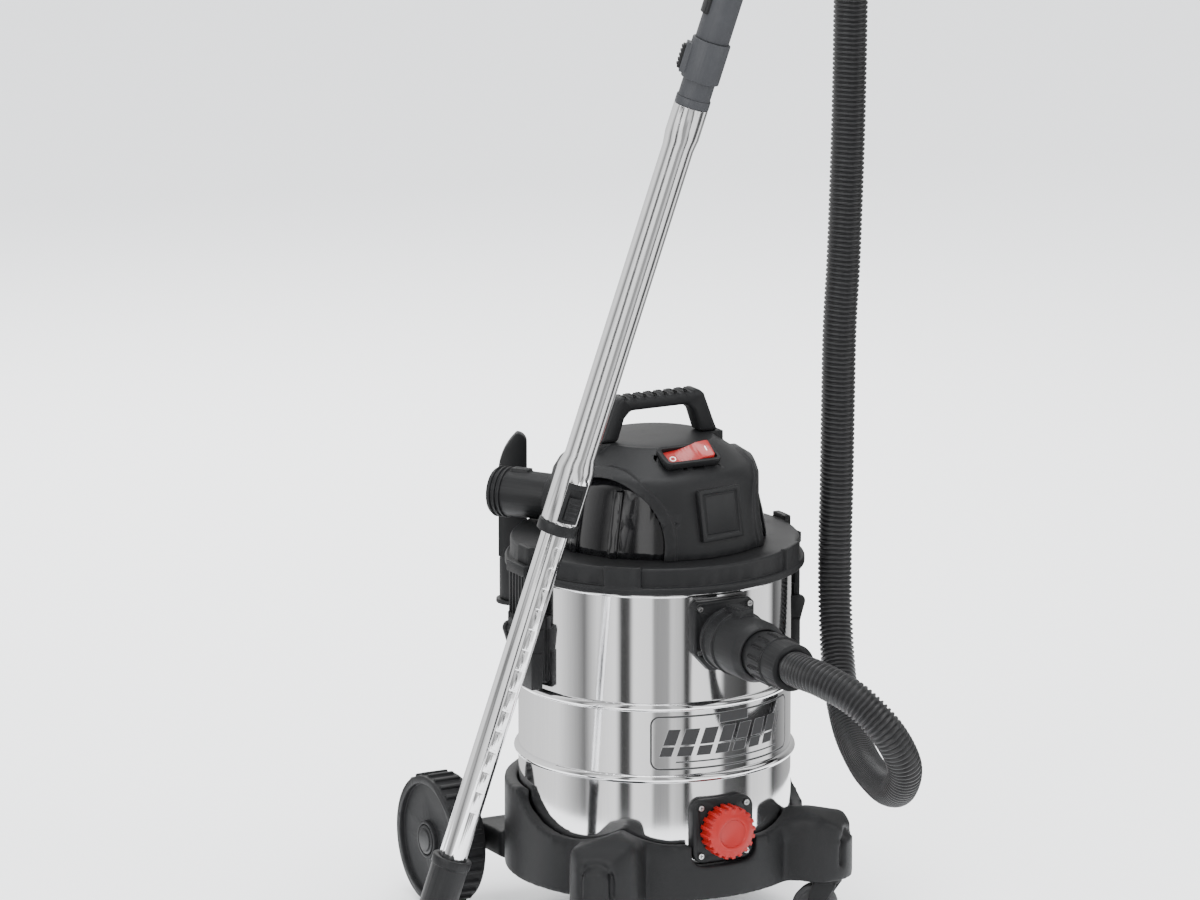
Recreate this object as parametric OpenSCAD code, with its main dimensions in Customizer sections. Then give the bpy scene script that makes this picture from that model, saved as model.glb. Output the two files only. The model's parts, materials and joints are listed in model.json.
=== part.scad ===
// Wet and dry shop vacuum: a steel drum on a wheeled carriage, a motor head that lifts off,
// and a telescopic wand that stands beside it on its floor tool.
// The front faces -Y. Every piece is drawn about the drum's axis, then moved by placed(), so that
// the origin is the middle of the floor area that the whole machine takes.

/* [Drum] */
// Outer diameter of the drum
drum_d = 310; // [290:1:380]
// Height of the drum, from its floor to its rim
drum_h = 318; // [300:1:400]
// Sheet thickness of the drum
drum_wall = 1.2; // [0.8:0.1:2]
// Height of the drum's floor above the ground
drum_z = 97; // [90:1:120]
// How far the two rolled beads stand out
bead_r = 5; // [3:0.5:6]
// Height of the lower bead above the drum's floor
bead_low = 103; // [95:1:110]
// Depth of the upper bead below the drum's rim
bead_down = 132; // [123:1:143]

/* [Lid] */
// How far the lid's lip stands out past the drum's side
lip_out = 15; // [12:1:18]
// Height of the band between the lip and the head
band_h = 21; // [16:1:26]
// Width of the round hole in the lid's deck that holds the fan casing
deck_hole_d = 140; // [130:1:150]

/* [Head] */
// Diameter of the head where it meets the lid
head_d = 260; // [240:1:262]
// Height of the head above the lid
head_h = 115; // [108:1:130]
// Wall thickness of the moulded head
head_wall = 3; // [2:0.5:4]
// Radius of the round-topped recess in each side of the head
arch_r = 78; // [60:1:80]
// Distance of each recess's back wall from the head's axis
recess_out = 80; // [78:1:84]

/* [Carry handle] */
// Length of the hand bar
bar_len = 112; // [100:1:126]
// Clear height under the hand bar
grip_gap = 34; // [30:1:44]
// Thickness of the hand bar
bar_t = 17; // [14:1:20]

/* [Switch] */
// Length of the rocker
rocker_l = 60; // [50:1:64]
// Width of the rocker
rocker_w = 24; // [20:1:26]
// Half of the angle that the rocker turns through
rocker_tilt = 8; // [5:0.5:9]

/* [Ports] */
// Depth of the hose inlet's axis below the drum's rim
inlet_down = 52; // [50:1:63]
// Inner radius of the inlet socket
inlet_r = 26; // [24:0.5:27]
// Inner radius of the blower port, where the hose can be plugged in
blower_r = 24; // [22:0.5:25]
// Height of the drain's axis above the drum's floor
drain_up = 42; // [40:1:46]
// Outer diameter of the drain cap
drain_cap_d = 60; // [54:1:62]

/* [Wheels] */
// Diameter of the rear wheels
wheel_d = 154; // [140:2:160]
// Width of the rear wheels
wheel_w = 40; // [30:1:44]
// Distance of the rear axle behind the drum's axis
axle_back = 150; // [146:1:160]
// Radius of the rear axle
axle_r = 6; // [5:0.5:7]
// Diameter of the caster wheels
caster_d = 50; // [44:1:52]
// Distance of each caster's swivel outside the drum's side
caster_off = 50; // [43:1:57]

/* [Wand] */
// Angle of the wand from upright
wand_tilt = 17.2; // [14:0.1:20]
// Outer radius of the lower tube
lower_r = 15.75; // [14.75:0.25:18]
// How much larger the upper tube's outer radius is
tube_step = 1.75; // [1.5:0.05:2.5]
// Distance along the wand from the ground to the lower end of the upper tube
upper_from = 544; // [520:1:560]
// Length of the upper tube
upper_len = 492; // [460:1:520]
// Distance between the stops along the lower tube
notch_pitch = 24.2; // [20:0.1:28]
// Length of the floor tool
tool_len = 250; // [200:5:280]

/* [Hose] */
// Outer diameter of the hose
hose_d = 37; // [32:1:38]

/* [Hidden] */
$fn = 64;

// Clearances
run = 0.05;       // a shaft in its bore, on the radius
gap = 0.4;        // between curved faces of two pieces
e = 1;            // how far a cut runs past the face that it cuts

// Drum and lid heights
drum_r = drum_d / 2;
drum_in = drum_r - drum_wall;
rim_z = drum_z + drum_h;
roll_r = 3;
bead_high = drum_h - bead_down;
inlet_z = rim_z - inlet_down;
drain_z = drum_z + drain_up;
drain_r = drain_cap_d / 2 - 8;
screw_hole_r = 2.1;
seal_h = 3;
lip_z = rim_z + seal_h;
lip_h = 6;
lip_r = drum_r + lip_out;
band_r = lip_r - 6;
deck_t = 4;
deck_z = lip_z + lip_h + band_h;
lid_in = drum_in - 0.8;

// Base carriage
skirt_in = drum_r + 1.5;
skirt_r = drum_r + 16;
skirt_top = drum_z + 68;
skirt_low = drum_z - 37;
tray_t = 6;
scallop_r = 120;
leg_r = 40;
leg_low = drum_z - 35;
leg_rise = 86;
notch = [82, 79];

// Rear wheels
wheel_r = wheel_d / 2;
wheel_in = skirt_r + 6;
hub_r = 22;
cap_t = 5;

// Casters
caster_w = 18;
caster_r = caster_d / 2;
caster_out = drum_r + caster_off;
stem_r = 5;
caster_pin_r = 3;
trail = 14;

// Head
head_r = head_d / 2;
shoulder_z = deck_z + head_h * 0.8;
head_top = deck_z + head_h;
crown_r = head_r * 0.5;
head_turn = 8;
recess_turn = 68;
band_w = 10;
band_out = 2.5;

// Hand bar
bar_under = head_top + grip_gap;
bar_top = bar_under + bar_t;
foot_x = bar_len / 2 + 12;

// Switch
slope_r = head_r * 0.7;
slope_z = shoulder_z + 6;
switch_tilt = atan2(head_top - slope_z, slope_r - crown_r);
switch_y = -(slope_r + crown_r) / 2;
switch_z = (slope_z + head_top) / 2;
pan_tilt = 10;

// Blower port
blower_angle = -146;
blower_wall = 3;
blower_z = deck_z + blower_r + blower_wall + 1;
blower_from = head_r * 0.62;
blower_to = lip_r + 34;

// Inlet and hose end
socket_len = 41;
collar_wall = 4;
socket_r = inlet_r + 5;
collar_r = socket_r + collar_wall;
cuff_end = lip_r + 153;
cuff_len = cuff_end - drum_r - 45;
hose_r = hose_d / 2;
hose_in = 18;

// Latches
latch_pin_x = drum_r + 18;
latch_pin_z = rim_z - 63;
latch_pin_r = 2.5;
lever_w = 42;
lever_x = lip_r + 0.6;

// Inside the head
motor_r = 48;
fan_r = deck_hole_d / 2 - 3;
fan_low = deck_z - 22;
shaft_r = 4;
cage_r = 40;
cage_low = deck_z - 108;
filter_r = 80;
filter_low = deck_z - 165;
eye_r = 18;

// Tool holder
holder_angle = -160;
holder_out = drum_r + 60;
holder_low = rim_z - 85;
peg_r = 14;
crevice_len = 195;

// Wand, in its own frame: z runs up along the tube from the ground
wand_azimuth = -28;
wand_side = -269;
wand_near = -260;
wand_x = wand_side * cos(wand_azimuth) - wand_near * sin(wand_azimuth);
wand_y = wand_side * sin(wand_azimuth) + wand_near * cos(wand_azimuth);
tube_wall = 1.2;
lower_wall = 1.6;
upper_r = lower_r + tube_step;
upper_to = upper_from + upper_len;
sleeve_len = 74;
sleeve_r = upper_r + 3.4;
button_turn = -66;
window_w = 24;
neck_to = 146;
lower_to = upper_from + 110;
lower_in = lower_r - lower_wall;
neck_r = lower_r + 5;
grip_r = 19;
collar_to = upper_to + 76;
grip_bend = 34;
bend_at = collar_to + 90;
bend_len = 96;
tool_w = 80;
tool_hinge_z = 34;
notches = 14;
notch_turn = 25;
notch_r = 4;
notch_depth = 0.9;
hinge_x = tool_hinge_z * tan(wand_tilt);

// The machine's footprint, from the sizes above: the origin goes to its middle
reach_x = tool_len / 2 * abs(sin(wand_azimuth)) + tool_w / 2 * cos(wand_azimuth);
low_x = wand_x - reach_x;
high_x = wheel_in + wheel_w + cap_t - 3;
low_y = -cuff_end;
high_y = axle_back + wheel_r;
shift_x = -(low_x + high_x) / 2;
shift_y = -(low_y + high_y) / 2;

// The hose's route about the drum's axis, from the cuff to the grip
route = [
    [0, -305, 363], [0, -340, 363], [8, -378, 360], [28, -416, 344], [54, -438, 310],
    [80, -430, 268], [95, -395, 232], [110, -345, 216], [130, -282, 210], [150, -218, 212],
    [165, -160, 232], [177, -118, 268], [186, -92, 310], [192, -76, 365], [194, -72, 430],
    [196, -71, 500], [197, -71, 580], [198, -72, 677], [201, -74, 750], [203, -75, 817],
    [205, -76, 900], [206, -77, 980], [206, -79, 1060], [206, -85, 1130], [204, -105, 1195],
    [198, -140, 1245], [187, -185, 1280], [171, -232, 1297], [150, -275, 1298], [122, -308, 1286],
    [90, -325, 1267], [60, -325, 1244], [33, -312, 1220], [5, -297, 1195]
];
// Its two ends follow the cuff and the grip when the sizes change
grip_end = bend_len - 22;
grip_side = grip_end * sin(grip_bend + wand_tilt) + bend_at * sin(wand_tilt);
cuff_shift = [0, hose_in - cuff_end, inlet_z] - route[0];
grip_shift = [
    wand_x + grip_side * cos(wand_azimuth), wand_y + grip_side * sin(wand_azimuth),
    grip_end * cos(grip_bend + wand_tilt) + bend_at * cos(wand_tilt)
] - route[len(route) - 1];
hose_route = [for (i = [0 : len(route) - 1])
    let (w = i / (len(route) - 1)) route[i] + (1 - w) * cuff_shift + w * grip_shift];

module placed() translate([shift_x, shift_y, 0]) children();

// Turns its children from the front (-Y) by an angle, positive towards +X
module around(angle) rotate([0, 0, angle]) children();

// Lays a cylinder's axis along -Y, starting at y = 0
module forward() rotate([90, 0, 0]) children();

module tube(h, r_out, r_in) difference() {
    cylinder(h = h, r = r_out);
    translate([0, 0, -e]) cylinder(h = h + 2 * e, r = r_in);
}

module ring(r, section_r) rotate_extrude($fn = 96) translate([r, 0]) circle(r = section_r, $fn = 24);

// Side: -1 is the left (-X), 1 is the right
module on_side(side) mirror([side < 0 ? 1 : 0, 0, 0]) children();

module rounded_box(size, r) linear_extrude(size[2]) {
    square([size[0], size[1] - 2 * r], center = true);
    square([size[0] - 2 * r, size[1]], center = true);
    for (x = [-1, 1], y = [-1, 1])
        translate([x * (size[0] / 2 - r), y * (size[1] / 2 - r)]) circle(r = r, $fn = 24);
}

// ---------------------------------------------------------------- drum

// The middles of the four screws that hold the inlet's flange, and of those that hold the drain's
module at_inlet_screws() for (x = [-1, 1], z = [-15, 35])
    translate([x * 31.5, 0, inlet_z + z]) children();

module at_drain_screws() for (x = [-1, 1], z = [-1, 1])
    translate([x * 29, 0, drain_z + z * 28]) children();

module screw_holes() {
    at_inlet_screws() forward() cylinder(h = drum_d, r = screw_hole_r);
    at_drain_screws() forward() cylinder(h = drum_d, r = screw_hole_r);
}

module drum() color("silver") placed() difference() {
    union() {
        translate([0, 0, drum_z]) cylinder(h = drum_h - roll_r, r = drum_r, $fn = 96);
        translate([0, 0, drum_z + bead_low]) ring(drum_r, bead_r);
        translate([0, 0, drum_z + bead_high]) ring(drum_r, bead_r);
        translate([0, 0, rim_z - roll_r]) ring(drum_r - 0.5, roll_r);
    }
    translate([0, 0, drum_z + drum_wall]) cylinder(h = drum_h, r = drum_in, $fn = 96);
    translate([0, 0, drum_z + bead_low]) ring(drum_r, bead_r - drum_wall);
    translate([0, 0, drum_z + bead_high]) ring(drum_r, bead_r - drum_wall);
    translate([0, 0, inlet_z]) forward() cylinder(h = drum_d, r = socket_r + gap);
    translate([0, 0, drain_z]) forward() cylinder(h = drum_d, r = drain_r + gap);
    screw_holes();
}

// ---------------------------------------------------------------- base carriage

// A round dip in the skirt's top edge
module scallop(angle) around(angle) translate([0, -skirt_in + 20, skirt_low + 65 + scallop_r])
    forward() cylinder(h = leg_r + 80, r = scallop_r);

// A front leg: round in plan at the outer end, with a top that is rounded along it and across it
module leg(side) around(side * 45) intersection() {
    translate([0, 0, leg_low]) linear_extrude(skirt_top) {
        translate([0, -caster_out + 12]) circle(r = leg_r);
        translate([-leg_r, -caster_out + 12]) square([2 * leg_r, 40]);
    }
    translate([-leg_r - e, -skirt_r + 6, leg_low]) rotate([0, 90, 0])
        cylinder(h = 2 * leg_r + 2 * e, r = leg_rise);
    translate([0, -drum_r, leg_low + leg_rise - 62]) forward() cylinder(h = 160, r = 62);
}

// The round-topped groove in a leg's outer end
module leg_groove(side) around(side * 45) translate([0, -caster_out - 16, leg_low + 38]) forward()
    linear_extrude(40) difference() {
        union() {
            circle(r = 21);
            translate([-21, -22]) square([42, 22]);
        }
        circle(r = 15);
        translate([-15, -22]) square([30, 22]);
    }

module axle_box() translate([0, axle_back, wheel_r]) {
    rotate([0, 90, 0]) cylinder(h = 2 * (wheel_in - 2), r = 16, center = true);
    translate([-wheel_in + 26, -60, -15]) cube([2 * wheel_in - 52, 60, 30]);
}

module base_carriage() color([0.13, 0.13, 0.14]) placed() difference() {
    union() {
        translate([0, 0, skirt_low]) cylinder(h = skirt_top - skirt_low, r = skirt_r, $fn = 96);
        axle_box();
        for (s = [-1, 1]) leg(s);
    }
    for (a = [-64, -18.6, 18.6, 64]) scallop(a);
    for (s = [-1, 1]) leg_groove(s);
    translate([0, 0, drum_z]) cylinder(h = drum_h, r = skirt_in, $fn = 96);
    translate([0, 0, skirt_low - 10]) cylinder(h = drum_z - tray_t - skirt_low + 10, r = skirt_in - 6);
    translate([0, 0, drain_z]) forward() rounded_box([notch[0], notch[1], 2 * drum_r], 16);
    translate([0, axle_back, wheel_r]) rotate([0, 90, 0])
        cylinder(h = 2 * wheel_in, r = axle_r + run, center = true);
    for (s = [-1, 1]) around(s * 45) translate([0, -caster_out, leg_low - e])
        cylinder(h = 26 + e, r = stem_r + run);
}

module rear_axle() color("gray") placed() translate([0, axle_back, wheel_r])
    rotate([0, 90, 0]) cylinder(h = 2 * (wheel_in + wheel_w - 3.2), r = axle_r, center = true);

module rear_wheel(side) color([0.15, 0.15, 0.16]) placed() on_side(side)
    translate([wheel_in, axle_back, wheel_r]) rotate([0, 90, 0]) difference() {
        union() {
            cylinder(h = wheel_w, r = wheel_r - 3);
            for (a = [0 : 12 : 348]) rotate([0, 0, a])
                translate([wheel_r - 6, -2.6, 4]) cube([6, 5.2, wheel_w - 8]);
        }
        translate([0, 0, -e]) cylinder(h = wheel_w + 2 * e, r = axle_r + run);
        for (z = [-e, wheel_w - 6]) translate([0, 0, z]) tube(6 + e, wheel_r - 12, hub_r);
        translate([0, 0, wheel_w - 3]) cylinder(h = 3 + e, r = hub_r - 4);
    }

module rear_wheel_left() rear_wheel(-1);
module rear_wheel_right() rear_wheel(1);

module hub_cap(side) color([0.11, 0.11, 0.12]) placed() on_side(side)
    translate([wheel_in + wheel_w - 3, axle_back, wheel_r]) rotate([0, 90, 0]) {
        cylinder(h = cap_t - 1.5, r = hub_r - 5);
        cylinder(h = cap_t, r = hub_r - 9);
    }

module hub_cap_left() hub_cap(-1);
module hub_cap_right() hub_cap(1);

// ---------------------------------------------------------------- casters

module at_caster(side) placed() around(side * 45) translate([0, -caster_out, 0]) children();

module caster_fork(side) color([0.12, 0.12, 0.13]) at_caster(side) difference() {
    union() {
        translate([0, 0, leg_low - 6]) cylinder(h = 28, r = stem_r);
        translate([0, 0, leg_low - 7.5]) cylinder(h = 7, r = 17);
        for (s = [-1, 1]) hull() {
            translate([s * (caster_w / 2 + 3), 0, leg_low - 9]) cube([3, 26, 4], center = true);
            translate([s * (caster_w / 2 + 3), trail, caster_r]) rotate([0, 90, 0])
                cylinder(h = 3, r = 8, center = true, $fn = 32);
        }
    }
    translate([0, trail, caster_r]) rotate([0, 90, 0]) cylinder(h = 60, r = caster_pin_r, center = true);
}

module caster_fork_left() caster_fork(-1);
module caster_fork_right() caster_fork(1);

module caster_wheel(side) color([0.2, 0.2, 0.21]) at_caster(side)
    translate([0, trail, caster_r]) rotate([0, 90, 0]) {
        difference() {
            cylinder(h = caster_w, r = caster_r, center = true);
            for (s = [-1, 1]) translate([0, 0, s * caster_w / 2 - 2]) tube(4, caster_r - 6, 9);
        }
        cylinder(h = caster_w + 9, r = caster_pin_r - run, center = true);
    }

module caster_wheel_left() caster_wheel(-1);
module caster_wheel_right() caster_wheel(1);

// ---------------------------------------------------------------- inlet

module shield_plate() linear_extrude(14) polygon([
    [-38, -20], [-18, -42], [18, -42], [38, -20], [38, 32], [32, 38], [-32, 38], [-38, 32]
]);

module inlet_flange() color([0.14, 0.14, 0.15]) placed() difference() {
    union() {
        translate([0, -drum_r + 5, inlet_z + 4]) forward() shield_plate();
        translate([0, -drum_r + 8, inlet_z]) forward() cylinder(h = socket_len + 8, r = socket_r);
    }
    translate([0, 0, drum_z]) cylinder(h = drum_h, r = drum_r + 0.1, $fn = 96);
    translate([0, -drum_r + 30, inlet_z]) forward() cylinder(h = socket_len + 60, r = inlet_r);
    screw_holes();
}

module screw(shaft_len) {
    cylinder(h = shaft_len, r = 2);
    translate([0, 0, shaft_len]) difference() {
        cylinder(h = 2.4, r = 3.2);
        translate([0, 0, 1.2]) cube([1, 5, 3], center = true);
        translate([0, 0, 1.2]) cube([5, 1, 3], center = true);
    }
}

module inlet_screws() color("silver") placed() at_inlet_screws()
    translate([0, -drum_r + 4.9, 0]) forward() screw(14);

module inlet_deflector() color([0.16, 0.16, 0.17]) placed() intersection() {
    translate([0, -drum_in + 46, inlet_z]) forward() union() {
        difference() {
            cylinder(h = 60, r = socket_r + 9);
            translate([0, 0, 3]) cylinder(h = 60, r = socket_r + 6);
            translate([-50, -60, 3]) cube([100, 50, 60]);
        }
    }
    cylinder(h = 2 * drum_z + drum_h, r = drum_in - 0.1, $fn = 96);
}

module hose_collar() color([0.1, 0.1, 0.11]) placed() translate([0, -drum_r - 15, inlet_z])
    forward() difference() {
        union() {
            cylinder(h = 72, r = collar_r);
            translate([0, 0, 72]) cylinder(h = 12, r1 = collar_r, r2 = inlet_r + 4);
            for (z = [4, 26]) translate([0, 0, z]) cylinder(h = 5, r = collar_r + 2);
            translate([-9, collar_r - 2, 12]) cube([18, 8, 34]);
            for (z = [16 : 6 : 40]) translate([-7, collar_r + 5, z]) cube([14, 2.5, 2.5]);
        }
        translate([0, 0, -e]) cylinder(h = socket_len - 12 + e, r = socket_r + gap);
        cylinder(h = 90, r = inlet_r + 1);
    }

module hose_cuff() color([0.12, 0.12, 0.13]) placed() translate([0, cuff_len - cuff_end, inlet_z])
    forward() difference() {
        union() {
            cylinder(h = cuff_len, r = inlet_r + 0.6);
            translate([0, 0, 56]) cylinder(h = 12, r1 = inlet_r + 0.6, r2 = inlet_r + 2.5);
            translate([0, 0, 68]) cylinder(h = 26, r = inlet_r + 2.5);
            for (a = [0 : 24 : 336]) rotate([0, 0, a])
                translate([inlet_r + 1.5, -1.2, 70]) cube([2, 2.4, 22]);
        }
        translate([0, 0, -e]) cylinder(h = cuff_len, r = hose_r - 2);
        translate([0, 0, cuff_len - hose_in - 2]) cylinder(h = 80, r = hose_r + gap);
    }

// ---------------------------------------------------------------- hose

function unit(v) = v / norm(v);
function heading(path, i) = unit(path[min(i + 1, len(path) - 1)] - path[max(i - 1, 0)]);

module sweep(path, r, sides) {
    up = [1, -0.4, 0.1];
    points = [for (i = [0 : len(path) - 1])
        let (t = heading(path, i), a = unit(cross(t, up)), b = cross(t, a))
        for (k = [0 : sides - 1]) path[i] + r * (a * cos(360 * k / sides) + b * sin(360 * k / sides))];
    last = (len(path) - 1) * sides;
    walls = [for (i = [0 : len(path) - 2], k = [0 : sides - 1])
        let (n = (k + 1) % sides)
        for (face = [[i * sides + k, i * sides + n, (i + 1) * sides + n],
            [i * sides + k, (i + 1) * sides + n, (i + 1) * sides + k]]) face];
    start = [for (k = [sides - 1 : -1 : 0]) k];
    finish = [for (k = [0 : sides - 1]) last + k];
    polyhedron(points = points, faces = concat([start], walls, [finish]), convexity = 8);
}

module hose() color([0.08, 0.08, 0.09]) placed() sweep(hose_route, hose_r, 10);

// ---------------------------------------------------------------- drain

module drain_flange() color([0.12, 0.12, 0.13]) placed() difference() {
    union() {
        translate([0, -drum_r + 6, drain_z]) forward() rounded_box([76, 73, 14], 14);
        translate([0, -drum_r + 8, drain_z]) forward() cylinder(h = 26, r = drain_r);
    }
    translate([0, 0, drum_z]) cylinder(h = drum_h, r = drum_r + 0.1, $fn = 96);
    translate([0, -drum_r + 30, drain_z]) forward() cylinder(h = 90, r = drain_r - 5);
    screw_holes();
}

module drain_screws() color("silver") placed() at_drain_screws()
    translate([0, -drum_r + 5.9, 0]) forward() screw(14);

module drain_cap() color([0.78, 0.1, 0.09]) placed() translate([0, -drum_r - 9, drain_z])
    forward() difference() {
        union() {
            cylinder(h = 20, r = drain_cap_d / 2 - 2);
            for (a = [0 : 15 : 345]) rotate([0, 0, a])
                translate([drain_cap_d / 2 - 2, 0, 1]) cylinder(h = 18, r = 2.2, $fn = 16);
            translate([0, 0, 20]) tube(3, drain_cap_d / 2 - 8, drain_cap_d / 2 - 11);
        }
        translate([0, 0, -e]) cylinder(h = 12 + e, r = drain_r + 0.4);
    }

module drain_seal() color([0.05, 0.05, 0.05]) placed() translate([0, -drum_r - 18.6, drain_z])
    forward() tube(2.2, drain_r + 0.3, drain_r - 5);

// ---------------------------------------------------------------- latches

module latch_base(side) color([0.12, 0.12, 0.13]) placed() on_side(side) difference() {
    union() {
        translate([drum_r - 6, -26, latch_pin_z - 56]) cube([14, 52, 76]);
        for (s = [-1, 1]) translate([drum_r, s * (lever_w / 2 + 3.4), 0]) hull() {
            translate([18, 0, latch_pin_z]) rotate([90, 0, 0])
                cylinder(h = 6, r = 8, center = true, $fn = 32);
            translate([4, 0, latch_pin_z - 24]) cube([6, 6, 60], center = true);
        }
        translate([drum_r + 4, -30, latch_pin_z - 62]) cube([14, 60, 42]);
        translate([latch_pin_x, 0, latch_pin_z]) rotate([90, 0, 0])
            cylinder(h = lever_w + 10, r = latch_pin_r, center = true);
    }
    translate([0, 0, drum_z]) cylinder(h = drum_h, r = drum_r + 0.1, $fn = 96);
}

module latch_base_left() latch_base(-1);
module latch_base_right() latch_base(1);

module latch_lever(side) color([0.14, 0.14, 0.15]) placed() on_side(side) difference() {
    union() {
        translate([latch_pin_x, 0, latch_pin_z]) rotate([90, 0, 0])
            cylinder(h = lever_w, r = 6, center = true);
        translate([latch_pin_x - 4, -lever_w / 2, latch_pin_z]) cube([8, lever_w, 20]);
        translate([lever_x, -lever_w / 2, latch_pin_z + 12]) cube([5, lever_w, lip_z - latch_pin_z]);
        for (y = [-lever_w / 2 : 7 : lever_w / 2 - 2])
            translate([lever_x + 4, y, latch_pin_z + 14]) cube([2.6, 3, lip_z - latch_pin_z - 8]);
        translate([lever_x, -lever_w / 2, lip_z + lip_h - 4]) cube([8, lever_w, 12]);
    }
    translate([latch_pin_x, 0, latch_pin_z]) rotate([90, 0, 0])
        cylinder(h = lever_w + 4, r = latch_pin_r + run, center = true);
}

module latch_lever_left() latch_lever(-1);
module latch_lever_right() latch_lever(1);

// ---------------------------------------------------------------- lid

module lid_profile() polygon([
    [lid_in - 2.5, rim_z - 11], [lid_in, rim_z - 11], [lid_in, lip_z], [drum_r + 4, lip_z],
    [drum_r + 4, rim_z + 0.5], [lip_r, rim_z + 0.5], [lip_r, lip_z + lip_h - 2],
    [lip_r - 2, lip_z + lip_h], [band_r, lip_z + lip_h], [band_r, deck_z - 2], [band_r - 2, deck_z],
    [deck_hole_d / 2, deck_z], [deck_hole_d / 2, deck_z - deck_t], [band_r - 4, deck_z - deck_t],
    [band_r - 4, lip_z + 4], [lid_in - 2.5, lip_z + 4]
]);

module lid_block(angle, width, out, height) around(angle) intersection() {
    translate([-width / 2, -lip_r - 2, lip_z + lip_h - 1]) cube([width, 30, height]);
    cylinder(h = 2 * deck_z, r = band_r + out, $fn = 96);
}

module lid_ring() color([0.12, 0.12, 0.13]) placed() difference() {
    union() {
        rotate_extrude($fn = 96) lid_profile();
        difference() {
            union() {
                for (a = [-41, 41, 180]) lid_block(a, 43, 4, 24);
                for (a = [-90, 90]) lid_block(a, 28, 5, 28);
            }
            cylinder(h = 2 * deck_z, r = band_r - 3, $fn = 96);
        }
    }
    for (a = [0 : 60 : 300]) rotate([0, 0, a]) translate([deck_hole_d / 2 + 8, 0, deck_z - 10])
        cylinder(h = 20, r = 2.1);
}

module lid_seal() color([0.05, 0.05, 0.05]) placed() translate([0, 0, rim_z + 0.05])
    tube(seal_h - 0.1, drum_r + 3.6, lid_in + 0.3);

// ---------------------------------------------------------------- head

function dome(inset) = [
    [0, deck_z], [head_r - inset, deck_z], [head_r - inset, deck_z + 8],
    [head_r * 0.97 - inset, deck_z + 30], [head_r * 0.89 - inset, shoulder_z - 16 - inset * 0.3],
    [head_r * 0.84 - inset, shoulder_z - 5 - inset * 0.5], [slope_r - inset, slope_z - inset],
    [crown_r, head_top - inset], [0, head_top - inset]
];

module dome_solid(inset) rotate_extrude($fn = 96) polygon(dome(inset));

// Side: -1 is the left recess, 1 is the right
module at_recess(side) around(head_turn + side * recess_turn - 90) children();

// A round-topped outline in the YZ plane, cut along X from x outwards
module arch(x, r, thick) translate([x, 0, deck_z + 10]) rotate([90, 0, 90]) linear_extrude(thick) {
    circle(r = r);
    translate([-r, -10]) square([2 * r, 10]);
}

// A raised band round each recess
module recess_band() intersection() {
    difference() {
        dome_solid(-band_out);
        dome_solid(1);
    }
    for (s = [-1, 1]) at_recess(s) difference() {
        arch(recess_out - 2, arch_r + band_w, 60);
        arch(recess_out - 3, arch_r, 70);
    }
}

module head_shell() color([0.12, 0.12, 0.13]) placed() difference() {
    union() {
        recess_band();
        difference() {
            dome_solid(0);
            translate([0, 0, -0.01]) dome_solid(head_wall);
            for (s = [-1, 1]) at_recess(s) arch(recess_out, arch_r, 60);
        }
        intersection() {
            dome_solid(0);
            for (s = [-1, 1]) at_recess(s) union() {
                arch(recess_out - head_wall, arch_r + head_wall, head_wall);
                difference() {
                    arch(recess_out - 1, arch_r + head_wall, 60);
                    arch(recess_out - 2, arch_r, 70);
                }
            }
        }
        for (s = [-1, 1]) translate([s * foot_x - 13, -13, head_top - 28]) cube([26, 26, 28]);
        around(blower_angle) translate([0, -blower_from - 6, blower_z]) forward()
            cylinder(h = head_r - blower_from - 6, r = blower_r + blower_wall + 3);
    }
    around(blower_angle) translate([0, -blower_from + 10, blower_z]) forward()
        cylinder(h = 200, r = blower_r + blower_wall + 0.1);
    translate([0, 0, deck_z - 40]) cylinder(h = 40, r = head_r + 20);
    translate([0, 0, deck_z - e]) cylinder(h = 8 + e, r = deck_hole_d / 2 + 15.5);
    translate([0, switch_y, switch_z]) rotate([switch_tilt, 0, 0])
        translate([0, 0, -20]) rounded_box([rocker_l + 5, rocker_w + 5, 60], 4);
    translate([60, head_r * 0.7, deck_z + 38]) rotate([-90, 0, 0]) cylinder(h = 80, r = 9.1);
}

// A polished cover that bulges into the recess, with two ribs standing on it
module side_insert(side) color([0.05, 0.05, 0.06]) placed() at_recess(side) difference() {
    intersection() {
        union() {
            dome_solid(8);
            for (y = [-34, 20]) translate([recess_out, y - 5, deck_z]) cube([60, 10, 74]);
        }
        dome_solid(4);
        arch(recess_out + 0.1, arch_r - 1, 60);
    }
    translate([0, 0, deck_z - e]) cylinder(h = head_h, r = recess_out + 6);
}

module side_insert_left() side_insert(-1);
module side_insert_right() side_insert(1);

module carry_handle() color([0.1, 0.1, 0.11]) placed() translate([0, 12, 0]) rotate([90, 0, 0])
    linear_extrude(24) difference() {
        polygon([
            [-foot_x - 8, head_top], [-foot_x - 4, head_top + 8], [-bar_len / 2 - 2, bar_top - 6],
            [-bar_len / 2 + 5, bar_top], [bar_len / 2 - 5, bar_top], [bar_len / 2 + 2, bar_top - 6],
            [foot_x + 4, head_top + 8], [foot_x + 8, head_top]
        ]);
        polygon([
            [-foot_x + 12, head_top - 10], [-bar_len / 2 + 12, bar_under - 8],
            [-bar_len / 2 + 20, bar_under], [bar_len / 2 - 20, bar_under],
            [bar_len / 2 - 12, bar_under - 8], [foot_x - 12, head_top - 10]
        ]);
        for (x = [-39 : 13 : 39]) translate([x, bar_top + 0.6]) circle(r = 2.8, $fn = 24);
    }

module front_panel() color([0.09, 0.09, 0.1]) placed() difference() {
    around(8) translate([0, -head_r * 0.97 + 6, deck_z + 48]) rotate([90 - 9, 0, 0])
        rounded_box([56, 58, 6.5], 5);
    dome_solid(-0.1);
}

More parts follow.
